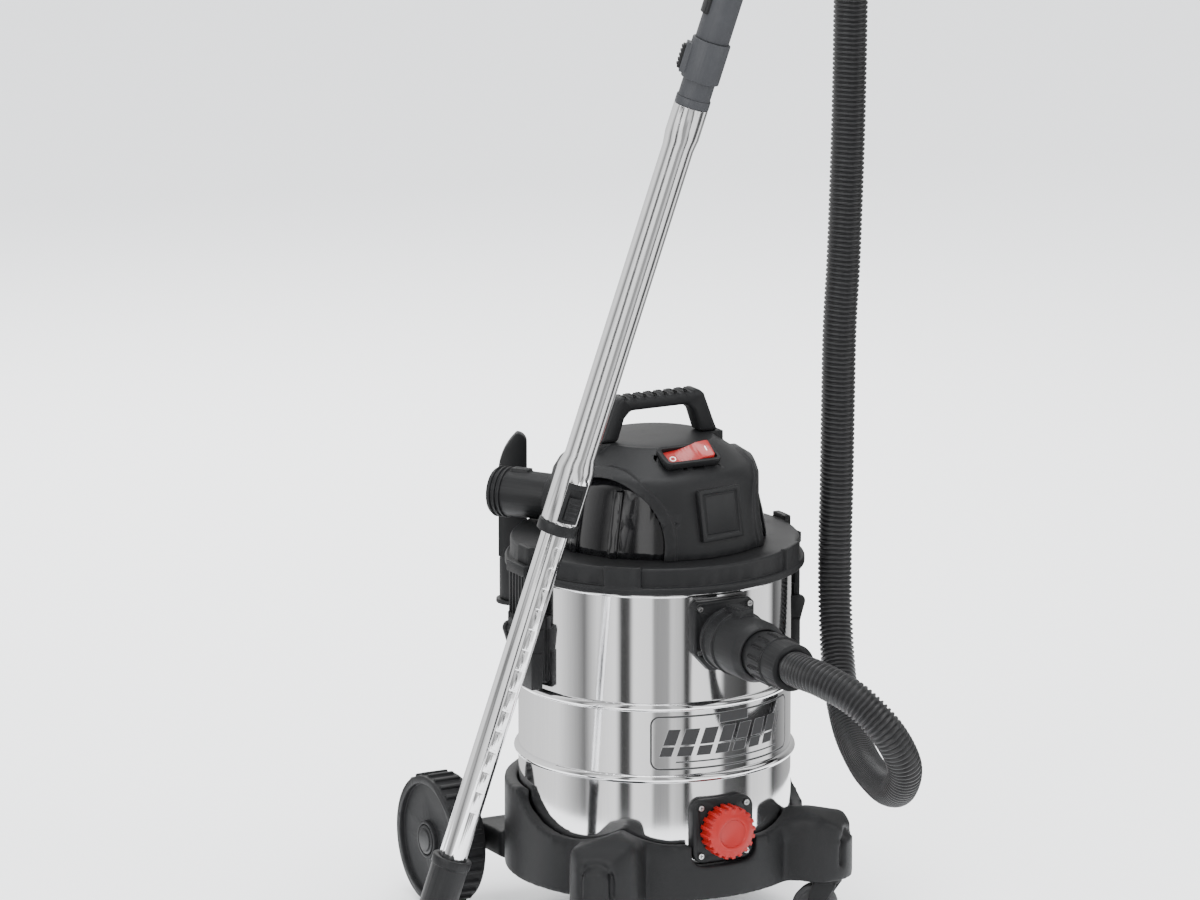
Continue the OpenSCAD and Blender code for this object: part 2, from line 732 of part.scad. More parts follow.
module switch_bezel() color([0.08, 0.08, 0.09]) placed() translate([0, switch_y, switch_z])
    rotate([switch_tilt, 0, 0]) difference() {
        union() {
            translate([0, 0, -16]) rounded_box([rocker_l + 4.8, rocker_w + 4.8, 18], 4);
            intersection() {
                translate([0, 0, 0.1]) rounded_box([rocker_l + 12, rocker_w + 10, 20], 9);
                translate([0, rocker_w / 2 + 5, 3]) rotate([-pan_tilt, 0, 0])
                    translate([-rocker_l, -2 * rocker_w, -20]) cube([2 * rocker_l, 3 * rocker_w, 20]);
            }
        }
        translate([0, 0, -13]) rounded_box([rocker_l + 1, rocker_w + 1, 60], 3);
        translate([0, 0, -5]) rotate([90, 0, 0]) cylinder(h = 60, r = 2 + run, center = true);
    }

module power_rocker() color([0.86, 0.14, 0.1]) placed() translate([0, switch_y, switch_z])
    rotate([switch_tilt, 0, 0]) translate([0, 0, -5]) rotate([0, -rocker_tilt, 0]) {
        rotate([90, 0, 0]) cylinder(h = rocker_w + 4, r = 2, center = true);
        difference() {
            translate([0, 0, -1]) rounded_box([rocker_l - 3, rocker_w, 14], 3);
            translate([-14, 0, 73]) rotate([90, 0, 0]) cylinder(h = 60, r = 66, center = true, $fn = 128);
            translate([-rocker_l - 14, -rocker_w, 7]) cube([rocker_l, 2 * rocker_w, 20]);
        }
    }

module blower_port() color([0.1, 0.1, 0.11]) placed() around(blower_angle)
    translate([0, -blower_from - 14, blower_z]) forward() difference() {
        union() {
            cylinder(h = blower_to - blower_from - 14, r = blower_r + blower_wall);
            for (i = [0 : 2]) translate([0, 0, blower_to - blower_from - 32 + 6 * i])
                cylinder(h = 2.6, r = blower_r + blower_wall + 2.4);
            translate([-6, blower_r + 1, blower_to - blower_from - 58]) cube([12, 5, 22]);
        }
        translate([0, 0, -e]) cylinder(h = 200, r = blower_r);
    }

module cord_gland() color([0.08, 0.08, 0.08]) placed()
    translate([60, head_r * 0.7, deck_z + 38]) rotate([-90, 0, 0]) difference() {
        union() {
            cylinder(h = 34, r = 9);
            translate([0, 0, 30]) cylinder(h = 4, r = 12);
            translate([0, 0, 34]) cylinder(h = 22, r1 = 8, r2 = 6);
        }
        translate([0, 0, -e]) cylinder(h = 80, r = 4.2);
    }

module head_screws() color("silver") placed() for (a = [0 : 60 : 300]) rotate([0, 0, a])
    translate([deck_hole_d / 2 + 8, 0, deck_z - 11.95]) screw(15.1);

module tool_holder() color([0.11, 0.11, 0.12]) placed() around(holder_angle) difference() {
    union() {
        translate([-15, -lip_r - 7, holder_low]) cube([30, 5, lip_z + lip_h + 3 - holder_low]);
        translate([-15, -lip_r - 7, lip_z + lip_h + 0.2]) cube([30, 12, 5]);
        translate([0, -holder_out, holder_low]) cylinder(h = 5, r = 22);
        translate([-15, -holder_out, holder_low]) cube([30, holder_out - lip_r - 3, 5]);
        translate([0, -holder_out, holder_low]) cylinder(h = 40, r = peg_r);
    }
    translate([0, -holder_out, holder_low - e]) cylinder(h = 60, r = peg_r - 3);
}

// Straight on the right, and curved in on the left to a round tip
module blade_outline() intersection() {
    union() {
        translate([-19, 50]) square([33, crevice_len - 99]);
        translate([48, crevice_len - 49]) circle(r = 67, $fn = 128);
    }
    union() {
        translate([-19, 50]) square([33, crevice_len - 62]);
        translate([-19, 50]) square([21, crevice_len - 50]);
        translate([2, crevice_len - 12]) circle(r = 12);
    }
}

// A socket that fits over the peg, and a flat blade
module crevice_tool() color([0.09, 0.09, 0.1]) placed() around(holder_angle)
    translate([0, -holder_out, holder_low + 5.2]) rotate([0, 0, wand_azimuth - holder_angle])
    difference() {
        union() {
            cylinder(h = 46, r = peg_r + 4);
            translate([0, 0, 46]) cylinder(h = 14, r1 = peg_r + 4, r2 = 14);
            translate([0, 8, 0]) rotate([90, 0, 0]) linear_extrude(16) blade_outline();
        }
        translate([0, 0, -e]) cylinder(h = 42 + e, r = peg_r + gap);
        translate([0, 0, 30]) cylinder(h = 110, r = 6);
    }

// ---------------------------------------------------------------- inside the head

module motor_housing() color([0.55, 0.56, 0.58]) placed() difference() {
    union() {
        translate([0, 0, fan_low]) cylinder(h = deck_z + 5 - fan_low, r = fan_r);
        translate([0, 0, deck_z + 0.1]) cylinder(h = 3, r = deck_hole_d / 2 + 14);
        translate([0, 0, deck_z + 5]) cylinder(h = 72, r = motor_r);
        translate([0, 0, deck_z + 77]) cylinder(h = 8, r = 14);
    }
    translate([0, 0, fan_low + 3]) cylinder(h = deck_z - 1 - fan_low, r = fan_r - 4);
    translate([0, 0, fan_low - e]) cylinder(h = 10, r = eye_r);
    translate([0, 0, deck_z + 9]) cylinder(h = 64, r = motor_r - 5);
    translate([0, 0, deck_z]) cylinder(h = 83, r = shaft_r + run);
    for (a = [0 : 60 : 300]) rotate([0, 0, a]) translate([deck_hole_d / 2 + 8, 0, deck_z - 10])
        cylinder(h = 40, r = 2.1);
    for (a = [0 : 45 : 315]) rotate([0, 0, a]) translate([motor_r - 10, -5, deck_z + 20])
        cube([20, 10, 40]);
}

module motor_rotor() color([0.7, 0.45, 0.25]) placed() {
    translate([0, 0, fan_low + 5]) cylinder(h = deck_z + 82 - fan_low - 5, r = shaft_r);
    translate([0, 0, deck_z + 18]) cylinder(h = 42, r = 30);
    translate([0, 0, deck_z + 62]) cylinder(h = 9, r = 14);
}

module impeller() color([0.8, 0.8, 0.82]) placed() translate([0, 0, fan_low + 5]) difference() {
    union() {
        translate([0, 0, 10]) cylinder(h = 1.6, r = fan_r - 9);
        cylinder(h = 11, r = 9);
        for (a = [0 : 40 : 320]) rotate([0, 0, a]) translate([8, -0.8, 2]) cube([fan_r - 19, 1.6, 8.4]);
    }
    translate([0, 0, -e]) cylinder(h = 20, r = shaft_r + 0.01);
}

module float_cage() color([0.85, 0.85, 0.83]) placed() difference() {
    union() {
        translate([0, 0, cage_low]) cylinder(h = fan_low - 0.2 - cage_low, r = cage_r);
        translate([0, 0, fan_low - 4.2]) cylinder(h = 4, r = 60);
    }
    translate([0, 0, cage_low + 3]) cylinder(h = fan_low - cage_low - 8, r = cage_r - 3);
    translate([0, 0, fan_low - 20]) cylinder(h = 40, r = eye_r);
    for (a = [0 : 45 : 135]) rotate([0, 0, a]) translate([-60, -9, cage_low + 12])
        cube([120, 18, fan_low - cage_low - 30]);
    translate([0, 0, cage_low - e]) cylinder(h = 10, r = 4.1);
}

module float_ball() color("white") placed() translate([0, 0, cage_low + 3.4 + 22]) sphere(r = 22);

module cartridge_filter() color([0.93, 0.92, 0.88]) placed() difference() {
    union() {
        translate([0, 0, filter_low + 6]) cylinder(h = fan_low - 12 - filter_low, r = filter_r - 6);
        for (a = [0 : 10 : 350]) rotate([0, 0, a]) translate([filter_r - 9, 0, filter_low + 6])
            cylinder(h = fan_low - 12 - filter_low, r = 3, $fn = 16);
        for (z = [filter_low, fan_low - 10.5]) translate([0, 0, z]) cylinder(h = 6, r = filter_r);
    }
    translate([0, 0, filter_low - e]) cylinder(h = 240, r = cage_r + 8);
}

module filter_retainer() color([0.2, 0.2, 0.21]) placed() {
    translate([0, 0, filter_low - 5.2]) cylinder(h = 5, r = filter_r - 8);
    translate([0, 0, filter_low - 14]) cylinder(h = 9, r = 24, $fn = 12);
    translate([0, 0, filter_low - 6]) cylinder(h = cage_low - filter_low + 8.6, r = 4);
}

// ---------------------------------------------------------------- wand

module on_wand() placed() translate([wand_x, wand_y, 0]) rotate([0, 0, wand_azimuth])
    rotate([0, wand_tilt, 0]) children();

module at_button() translate([0, 0, upper_from]) rotate([0, 0, button_turn]) children();

module wand_upper_tube() color("silver") on_wand() difference() {
    union() {
        translate([0, 0, upper_from + sleeve_len]) cylinder(h = upper_len - sleeve_len - 34, r = upper_r);
        translate([0, 0, upper_from + sleeve_len - 6]) cylinder(h = 14, r1 = sleeve_r, r2 = upper_r);
        translate([0, 0, upper_from + 4]) cylinder(h = sleeve_len - 10, r = sleeve_r);
        translate([0, 0, upper_to - 48]) cylinder(h = 14, r1 = upper_r, r2 = upper_r + 1.8);
        translate([0, 0, upper_to - 34]) cylinder(h = 34, r = upper_r + 1.8);
    }
    translate([0, 0, upper_from - e]) cylinder(h = upper_len + 2 * e, r = upper_r - tube_wall);
    translate([0, 0, upper_from - e]) cylinder(h = sleeve_len - 9, r = sleeve_r - tube_wall);
    at_button() translate([0, -window_w / 2, 8]) cube([40, window_w, 46]);
}

// The bushing inside the sleeve fills the sleeve's window, and the button slides in it
module wand_sleeve() color([0.07, 0.07, 0.08]) on_wand() difference() {
    union() {
        translate([0, 0, upper_from - 8]) cylinder(h = 11.8, r = sleeve_r + 1.6);
        translate([0, 0, upper_from + 3]) cylinder(h = sleeve_len - 14, r = sleeve_r - tube_wall - 0.1);
        intersection() {
            translate([0, 0, upper_from]) cylinder(h = sleeve_len, r = sleeve_r - 0.3);
            at_button() translate([lower_r, -window_w / 2 + 0.1, 8.1]) cube([20, window_w - 0.2, 45.8]);
        }
    }
    translate([0, 0, upper_from - 20]) cylinder(h = 90, r = lower_r + run);
    at_button() translate([upper_r + 0.6, -7.3, 12]) cube([20, 14.6, 36]);
}

module wand_button() color([0.05, 0.05, 0.06]) on_wand() at_button()
    translate([upper_r + 1, -7, 12.3]) {
        cube([3.2, 14, 26]);
        for (z = [4 : 5 : 20]) translate([3, 0, z]) cube([1.1, 14, 2]);
    }

module wand_lower_tube() color("silver") on_wand() difference() {
    translate([0, 0, neck_to - 30]) cylinder(h = lower_to - neck_to + 30, r = lower_r);
    translate([0, 0, neck_to - 40]) cylinder(h = lower_to, r = lower_in);
    rotate([0, 0, notch_turn]) for (i = [0 : notches - 1])
        translate([0, notch_depth - lower_r - notch_r, upper_from - 24 - notch_pitch * i])
            rotate([0, 90, 0]) cylinder(h = 40, r = notch_r, center = true, $fn = 24);
}

module floor_neck() color([0.1, 0.1, 0.11]) on_wand() difference() {
    union() {
        translate([0, 0, 62]) cylinder(h = neck_to - 62, r = neck_r);
        translate([0, 0, neck_to - 10]) cylinder(h = 10, r = neck_r + 1.5);
        translate([0, 0, tool_hinge_z / cos(wand_tilt)]) rotate([90, 0, 0])
            cylinder(h = 26, r = 12, center = true);
        translate([-10, -13, tool_hinge_z / cos(wand_tilt)]) cube([20, 26, 40]);
    }
    translate([0, 0, neck_to - 31]) cylinder(h = 60, r = lower_r);
    translate([0, 0, 76]) cylinder(h = 60, r = lower_in);
    translate([0, 0, tool_hinge_z / cos(wand_tilt)]) rotate([90, 0, 0])
        cylinder(h = 60, r = 4 + run, center = true);
}

module on_floor_tool() placed() translate([wand_x, wand_y, 0]) rotate([0, 0, wand_azimuth])
    translate([hinge_x, 0, 0]) children();

module floor_tool() color([0.1, 0.1, 0.11]) on_floor_tool() difference() {
    union() {
        translate([-tool_w / 2, -tool_len / 2, 4]) cube([tool_w, tool_len, 10]);
        translate([0, 0, 12]) rotate([90, 0, 0]) cylinder(h = tool_len - 40, r = 20, center = true);
        for (s = [-1, 1]) translate([0, s * 17, 0]) hull() {
            translate([0, 0, tool_hinge_z]) rotate([90, 0, 0])
                cylinder(h = 7, r = 11, center = true, $fn = 32);
            translate([0, 0, 12]) cube([34, 7, 12], center = true);
        }
        translate([0, 0, tool_hinge_z]) rotate([90, 0, 0]) cylinder(h = 40, r = 4, center = true);
    }
    translate([-60, -tool_len, -30]) cube([120, 2 * tool_len, 34]);
    translate([-9, -tool_len / 2 + 14, -e]) cube([18, tool_len - 28, 10]);
    intersection() {
        translate([0, 0, tool_hinge_z]) rotate([90, 0, 0]) tube(27, 40, 4);
        translate([-50, -50, tool_hinge_z - 13]) cube([100, 100, 60]);
    }
    translate([0, 13.5, tool_hinge_z]) rotate([90, 0, 0]) tube(27, 12.6, 4);
    for (s = [-1, 1]) translate([s * 28, 0, 0]) cube([6.4, tool_len - 20, 20], center = true);
}

module floor_strips() color([0.04, 0.04, 0.04]) on_floor_tool() for (s = [-1, 1])
    translate([s * 28 - 3, -tool_len / 2 + 10.5, 0]) cube([6, tool_len - 21, 9.8]);

module grip_collar() color([0.09, 0.09, 0.1]) on_wand() difference() {
    union() {
        translate([0, 0, upper_to + 6]) cylinder(h = 30, r = upper_r + 0.6);
        translate([0, 0, upper_to + 30]) cylinder(h = collar_to - upper_to - 30, r = upper_r + 4);
        translate([0, 0, upper_to - 30]) cylinder(h = 40, r = upper_r - tube_wall - 0.05);
        translate([0, 0, upper_to + 0.2]) cylinder(h = 10, r = upper_r + 1.8);
        translate([-upper_r - 8, -9, upper_to + 34]) cube([14, 18, 34]);
    }
    translate([0, 0, upper_to - 40]) cylinder(h = 200, r = upper_r - 4);
    translate([-upper_r - 20, -6.3, upper_to + 37]) cube([18.6, 12.6, 28]);
}

module grip_latch() color([0.04, 0.04, 0.05]) on_wand()
    translate([-upper_r - 11, -6, upper_to + 37.3]) {
        cube([6.5, 12, 27]);
        for (z = [3 : 5 : 23]) translate([-1.4, 0, z]) cube([1.6, 12, 2]);
    }

module bent_bore(r, ends) {
    translate([0, 0, collar_to - ends]) cylinder(h = bend_at - collar_to + ends + 0.01, r = r);
    translate([0, 0, bend_at]) sphere(r = r);
    translate([0, 0, bend_at]) rotate([0, grip_bend, 0]) cylinder(h = bend_len + ends, r = r);
}

module grip_handle() color([0.16, 0.16, 0.17]) on_wand() difference() {
    union() {
        bent_bore(grip_r, 0);
        translate([0, 0, bend_at]) rotate([0, grip_bend, 0]) translate([0, 0, bend_len - 30])
            cylinder(h = 30, r = grip_r + 4);
    }
    bent_bore(grip_r - 4, 1);
    translate([0, 0, bend_at]) rotate([0, grip_bend, 0]) translate([0, 0, bend_len - 24])
        cylinder(h = 60, r = hose_r + gap);
    translate([-40, -7, collar_to + 34]) cube([24, 14, 34]);
}

module grip_slide() color([0.1, 0.1, 0.11]) on_wand() translate([0, 0, collar_to + 28])
    intersection() {
        tube(40, grip_r + 3.2, grip_r + 0.4);
        translate([-40, -14, 0]) cube([40, 28, 40]);
    }

// ---------------------------------------------------------------- nodes

drum();
base_carriage();
rear_axle();
rear_wheel_left();
rear_wheel_right();
hub_cap_left();
hub_cap_right();
caster_fork_left();
caster_fork_right();
caster_wheel_left();
caster_wheel_right();
inlet_flange();
inlet_screws();
inlet_deflector();
hose_collar();
hose_cuff();
hose();
drain_flange();
drain_screws();
drain_cap();
drain_seal();
latch_base_left();
latch_base_right();
latch_lever_left();
latch_lever_right();
lid_ring();
lid_seal();
head_shell();
side_insert_left();
side_insert_right();
carry_handle();
front_panel();
switch_bezel();
power_rocker();
blower_port();
cord_gland();
head_screws();
tool_holder();
crevice_tool();
motor_housing();
motor_rotor();
impeller();
float_cage();
float_ball();
cartridge_filter();
filter_retainer();
wand_upper_tube();
wand_sleeve();
wand_button();
wand_lower_tube();
floor_neck();
floor_tool();
floor_strips();
grip_collar();
grip_handle();
grip_latch();
grip_slide();
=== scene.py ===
"""Finishes a wet and dry shop vacuum: its rounded mouldings, its ribbed hose and its materials."""

import json
import math

import bmesh
import bpy
from bpy.props import FloatProperty, FloatVectorProperty, IntProperty, PointerProperty
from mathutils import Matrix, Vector


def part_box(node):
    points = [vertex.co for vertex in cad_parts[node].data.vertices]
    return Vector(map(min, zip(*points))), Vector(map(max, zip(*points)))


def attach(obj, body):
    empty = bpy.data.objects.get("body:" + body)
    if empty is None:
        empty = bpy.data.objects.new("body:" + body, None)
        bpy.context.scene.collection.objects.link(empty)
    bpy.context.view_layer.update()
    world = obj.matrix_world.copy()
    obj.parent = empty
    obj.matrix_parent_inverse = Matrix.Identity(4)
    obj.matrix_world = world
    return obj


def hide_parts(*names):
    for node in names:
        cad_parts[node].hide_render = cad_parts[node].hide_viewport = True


bl_info = {
    "name": "Shop Vacuum",
    "version": (1, 0, 0),
    "blender": (4, 5, 0),
    "location": "View3D > Sidebar > Shop Vacuum",
    "description": "Builds the finished pieces and materials of a wet and dry shop vacuum",
    "category": "Object",
}

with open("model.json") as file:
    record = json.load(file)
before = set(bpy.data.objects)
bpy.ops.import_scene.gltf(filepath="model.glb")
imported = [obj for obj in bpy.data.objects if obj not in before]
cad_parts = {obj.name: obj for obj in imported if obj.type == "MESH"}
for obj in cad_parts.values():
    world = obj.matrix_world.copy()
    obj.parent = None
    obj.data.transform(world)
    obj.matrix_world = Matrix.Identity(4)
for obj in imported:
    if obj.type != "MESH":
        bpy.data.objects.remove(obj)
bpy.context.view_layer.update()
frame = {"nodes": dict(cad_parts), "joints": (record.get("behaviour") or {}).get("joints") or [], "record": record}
DRUM_LOW, DRUM_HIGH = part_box("drum")
DRUM_X = (DRUM_LOW.x + DRUM_HIGH.x) / 2
LID_LOW, LID_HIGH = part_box("lid_ring")
DRUM_Y = (LID_LOW.y + LID_HIGH.y) / 2
MM = 0.001


def joint(name):
    """The record's joint of that name."""
    return next(j for j in frame["joints"] if j["name"] == name)


WAND = Vector(joint("wand_telescope")["axis"]).normalized()


# ---------------------------------------------------------------- sizes and colours


def length(name, description, default, low=0.0, high=1.0):
    """A size in metres that a user may change."""
    return FloatProperty(
        name=name, description=description, default=default, min=low, max=high,
        unit="LENGTH", precision=4,
    )


def count(name, description, default, low, high):
    """A whole number that a user may change."""
    return IntProperty(name=name, description=description, default=default, min=low, max=high)


def colour(name, description, default):
    """A colour that a user may change."""
    return FloatVectorProperty(
        name=name, description=description, default=default, min=0.0, max=1.0,
        size=3, subtype="COLOR",
    )


class HoseSizes(bpy.types.PropertyGroup):
    """Sizes of the ribbed hose."""

    radius: length("Hose radius", "Outer radius over the ribs", 0.0195, 0.01, 0.03)
    groove: length("Groove depth", "How deep the groove between two ribs is",
                   0.0026, 0.0005, 0.004)
    pitch: length("Rib pitch", "Distance from one rib to the next", 0.0054, 0.003, 0.01)
    sides: count("Sides", "Sides of the hose's section", 28, 8, 64)


class EdgeSizes(bpy.types.PropertyGroup):
    """How far the mouldings' edges are rounded."""

    handle: length("Handle", "Rounding of the carry handle", 0.0045, 0.0001, 0.006)
    medium: length("Medium edges", "Rounding of the head, the wheels and most fittings",
                   0.0011, 0.0001, 0.004)
    small: length("Small edges", "Rounding of the switch, the latch levers and the buttons",
                  0.0006, 0.0001, 0.002)
    melting: count("Melting", "How soft the carriage is", 7, 1, 30)
    crest_melting: count("Crest melting", "How soft the tops of the front legs are", 60, 1, 90)
    grain: length("Grain", "How finely the carriage is remade before it is softened",
                  0.0023, 0.001, 0.006)


class Colours(bpy.types.PropertyGroup):
    """Colours of the finishes."""

    steel: colour("Steel", "Bright rolled steel of the drum", (0.87, 0.87, 0.88))
    chrome: colour("Chrome", "Plated tubes of the wand", (0.93, 0.93, 0.94))
    black: colour("Black moulding", "Grained moulding of the head and fittings",
                  (0.0085, 0.0087, 0.0092))
    carriage: colour("Carriage", "Grained moulding of the carriage", (0.0088, 0.009, 0.0096))
    grip: colour("Grip", "Moulding of the wand's grip", (0.030, 0.031, 0.034))
    gloss: colour("Gloss black", "Polished side covers", (0.003, 0.003, 0.0035))
    red: colour("Red", "Rocker switch and drain cap", (0.27, 0.008, 0.007))
    hose: colour("Hose", "Ribbed hose", (0.0085, 0.0085, 0.009))
    rubber: colour("Rubber", "Seals, strips and caster treads", (0.030, 0.030, 0.031))
    zinc: colour("Zinc", "Screws and axle", (0.62, 0.62, 0.62))
    filter: colour("Filter paper", "Pleated cartridge", (0.80, 0.77, 0.68))
    natural: colour("Natural plastic", "Float and its cage", (0.76, 0.76, 0.73))
    windings: colour("Windings", "Motor windings", (0.42, 0.16, 0.05))
    marks: colour("Marks", "Printed marks on the rocker", (0.85, 0.84, 0.82))


class ShopVacSettings(bpy.types.PropertyGroup):
    """Every setting of the machine."""

    hose: PointerProperty(type=HoseSizes)
    edges: PointerProperty(type=EdgeSizes)
    colours: PointerProperty(type=Colours)


def settings():
    """The scene's own settings."""
    return bpy.context.scene.shop_vac


# ---------------------------------------------------------------- shader maths


class Value:
    """A number from a node. Python's operators on it add Math nodes."""

    def __init__(self, finish, socket):
        self.finish = finish
        self.socket = socket

    def math(self, operation, *others, clamp=False):
        """A Math node on this value and the others."""
        node = self.finish.node("ShaderNodeMath", {"operation": operation, "use_clamp": clamp},
                                {i: v for i, v in enumerate((self, *others))})
        return Value(self.finish, node.outputs[0])

    def __add__(self, other):
        return self.math("ADD", other)

    def __sub__(self, other):
        return self.math("SUBTRACT", other)

    def __mul__(self, other):
        return self.math("MULTIPLY", other)

    def __truediv__(self, other):
        return self.math("DIVIDE", other)

    def __rsub__(self, other):
        node = self.finish.node("ShaderNodeMath", {"operation": "SUBTRACT"}, {0: other, 1: self})
        return Value(self.finish, node.outputs[0])

    def __neg__(self):
        return self.math("MULTIPLY", -1.0)

    def __lt__(self, other):
        return self.math("LESS_THAN", other)

    def __mod__(self, other):
        return self.math("FLOORED_MODULO", other)

    def __pow__(self, other):
        return self.math("POWER", other)

    def __abs__(self):
        return self.math("ABSOLUTE")

    __radd__ = __add__

    def sine(self):
        """The sine of this value."""
        return self.math("SINE")

    def clamped(self):
        """This value kept between 0 and 1."""
        return self.math("ADD", 0.0, clamp=True)

    def highest(self, other):
        """The higher of two values."""
        return self.math("MAXIMUM", other)

    def step(self, low, high):
        """0 below low, 1 above high and smooth between them."""
        node = self.finish.node("ShaderNodeMapRange", {"interpolation_type": "SMOOTHSTEP"},
                                {"Value": self, "From Min": low, "From Max": high})
        return Value(self.finish, node.outputs[0])

    def between(self, low, high, soft):
        """1 between low and high, 0 outside them."""
        return self.step(low - soft, low + soft) * (1 - self.step(high - soft, high + soft))


class Finish:
    """A procedural material, made node by node around one Principled shader."""

    def __init__(self, name, **constants):
        self.material = bpy.data.materials.new(name)
        self.material.use_nodes = True
        self.tree = self.material.node_tree
        self.tree.nodes.clear()
        self.output = self.node("ShaderNodeOutputMaterial")
        self.shader = self.node("ShaderNodeBsdfPrincipled")
        self.tree.links.new(self.shader.outputs[0], self.output.inputs[0])
        for socket, value in constants.items():
            self.set(socket.replace("_", " "), value)
        self.place = self.node("ShaderNodeTexCoord").outputs["Object"]

    def node(self, kind, options=None, inputs=None):
        """Adds a node: its options are set first, then its sockets' values or links."""
        node = self.tree.nodes.new(kind)
        for option, value in (options or {}).items():
            if option == "stops":
                ramp = node.color_ramp
                while len(ramp.elements) < len(value):
                    ramp.elements.new(0.5)
                for element, (position, grey) in zip(ramp.elements, value):
                    element.position = position
                    element.color = (grey, grey, grey, 1)
            else:
                setattr(node, option, value)
        for socket, value in (inputs or {}).items():
            self.feed(node.inputs[socket], value)
        return node

    def feed(self, socket, value):
        """Links or sets one socket."""
        if isinstance(value, Value):
            self.tree.links.new(value.socket, socket)
        elif isinstance(value, bpy.types.NodeSocket):
            self.tree.links.new(value, socket)
        elif socket.type == "RGBA" and len(value) == 3:
            socket.default_value = (*value, 1)
        else:
            socket.default_value = value

    def set(self, socket, value):
        """Feeds one of the shader's own sockets."""
        names = {"Coat": "Coat Weight", "Specular": "Specular IOR Level"}
        self.feed(self.shader.inputs[names.get(socket, socket)], value)

    def value(self, socket):
        """A node's output as a Value."""
        return Value(self, socket)

    def moved(self, centre=(0, 0, 0), scale=(1, 1, 1), turn=(0, 0, 0)):
        """Object coordinates about a centre, turned and then scaled."""
        shifted = self.node("ShaderNodeVectorMath", {"operation": "SUBTRACT"},
                            {0: self.place, 1: centre}).outputs[0]
        node = self.node("ShaderNodeMapping", {"vector_type": "POINT"},
                         {"Vector": shifted, "Rotation": turn, "Scale": scale})
        return node.outputs[0]

    def axes(self, vector):
        """The three coordinates of a vector."""
        node = self.node("ShaderNodeSeparateXYZ", None, {0: vector})
        return [Value(self, s) for s in node.outputs]

    def joined(self, x, y, z):
        """A vector from three values."""
        return self.node("ShaderNodeCombineXYZ", None, {0: x, 1: y, 2: z}).outputs[0]

    def around_axis(self, x, y):
        """The angle about the upright axis, which is 0 at the front."""
        node = self.node("ShaderNodeMath", {"operation": "ARCTAN2"}, {0: x, 1: -y})
        return Value(self, node.outputs[0])

    def noise(self, vector, scale, detail=3.0, roughness=0.55):
        """Smooth noise from 0 to 1."""
        node = self.node("ShaderNodeTexNoise", {"noise_dimensions": "3D"},
                         {"Vector": vector, "Scale": scale, "Detail": detail,
                          "Roughness": roughness})
        return Value(self, node.outputs[0])

    def cells(self, vector, scale):
        """Distance to the nearest cell's middle."""
        node = self.node("ShaderNodeTexVoronoi", {"feature": "F1"},
                         {"Vector": vector, "Scale": scale})
        return Value(self, node.outputs[0])

    def mix(self, factor, first, second):
        """A colour between two colours."""
        node = self.node("ShaderNodeMix", {"data_type": "RGBA"}, {0: factor, 6: first, 7: second})
        return node.outputs[2]

    def shade(self, tone, factor):
        """A colour made lighter or darker by a factor."""
        grey = self.joined(factor, factor, factor)
        node = self.node("ShaderNodeVectorMath", {"operation": "MULTIPLY"}, {0: grey, 1: tone})
        return node.outputs[0]

    def bump(self, height, distance):
        """Feeds the shader's normal from a height."""
        node = self.node("ShaderNodeBump", None,
                         {"Height": height, "Distance": distance, "Strength": 1.0})
        self.set("Normal", node.outputs[0])


def moulding(name, tone, rough=0.42, grain=0.00018, scuffs=0.5, coat=0.0):
    """Moulded plastic: spark-eroded grain, faint flow clouds, handling scuffs and dust."""
    f = Finish(name, Coat=coat, Coat_Roughness=0.2, Specular=0.22)
    clouds = f.noise(f.place, 9.0, 4.0)
    marks = f.noise(f.moved(scale=(60, 60, 240)), 1.0, 6.0, 0.7).step(0.62, 0.8)
    speck = f.noise(f.place, 1500.0, 2.0)
    dust = f.noise(f.place, 55.0, 5.0, 0.65).step(0.55, 0.85)
    shade = 0.86 + clouds * 0.22 + speck * 0.1 + marks * 0.12 * scuffs + dust * 0.16
    f.set("Base Color", f.shade(tone, shade))
    f.set("Roughness", (rough + clouds * 0.08 - marks * 0.1 * scuffs + dust * 0.08).clamped())
    pits = f.cells(f.place, 1100.0)
    f.bump(pits * 0.6 + f.noise(f.place, 2600.0, 2.0) * 0.5, grain)
    return f.material


def polished_moulding(name, tone):
    """Polished moulding with hairline rubs and a little ripple."""
    f = Finish(name, Coat=0.6, Coat_Roughness=0.05)
    rubs = f.noise(f.moved(scale=(500, 30, 500)), 1.0, 4.0, 0.7)
    clouds = f.noise(f.place, 14.0, 3.0)
    f.set("Base Color", f.shade(tone, 0.8 + clouds * 0.5))
    f.set("Roughness", 0.1 + rubs.step(0.5, 0.8) * 0.12 + clouds * 0.05)
    f.bump(clouds * 0.7 + rubs * 0.1, 0.0006)
    return f.material


BADGE_UP = 0.1445
BADGE_HALF_X, BADGE_HALF_Y, BADGE_CORNER, BADGE_LINE = 0.104, 0.0315, 0.011, 0.0023
BADGE_SLANT, BADGE_BAR_STEP = 0.36, 0.0235


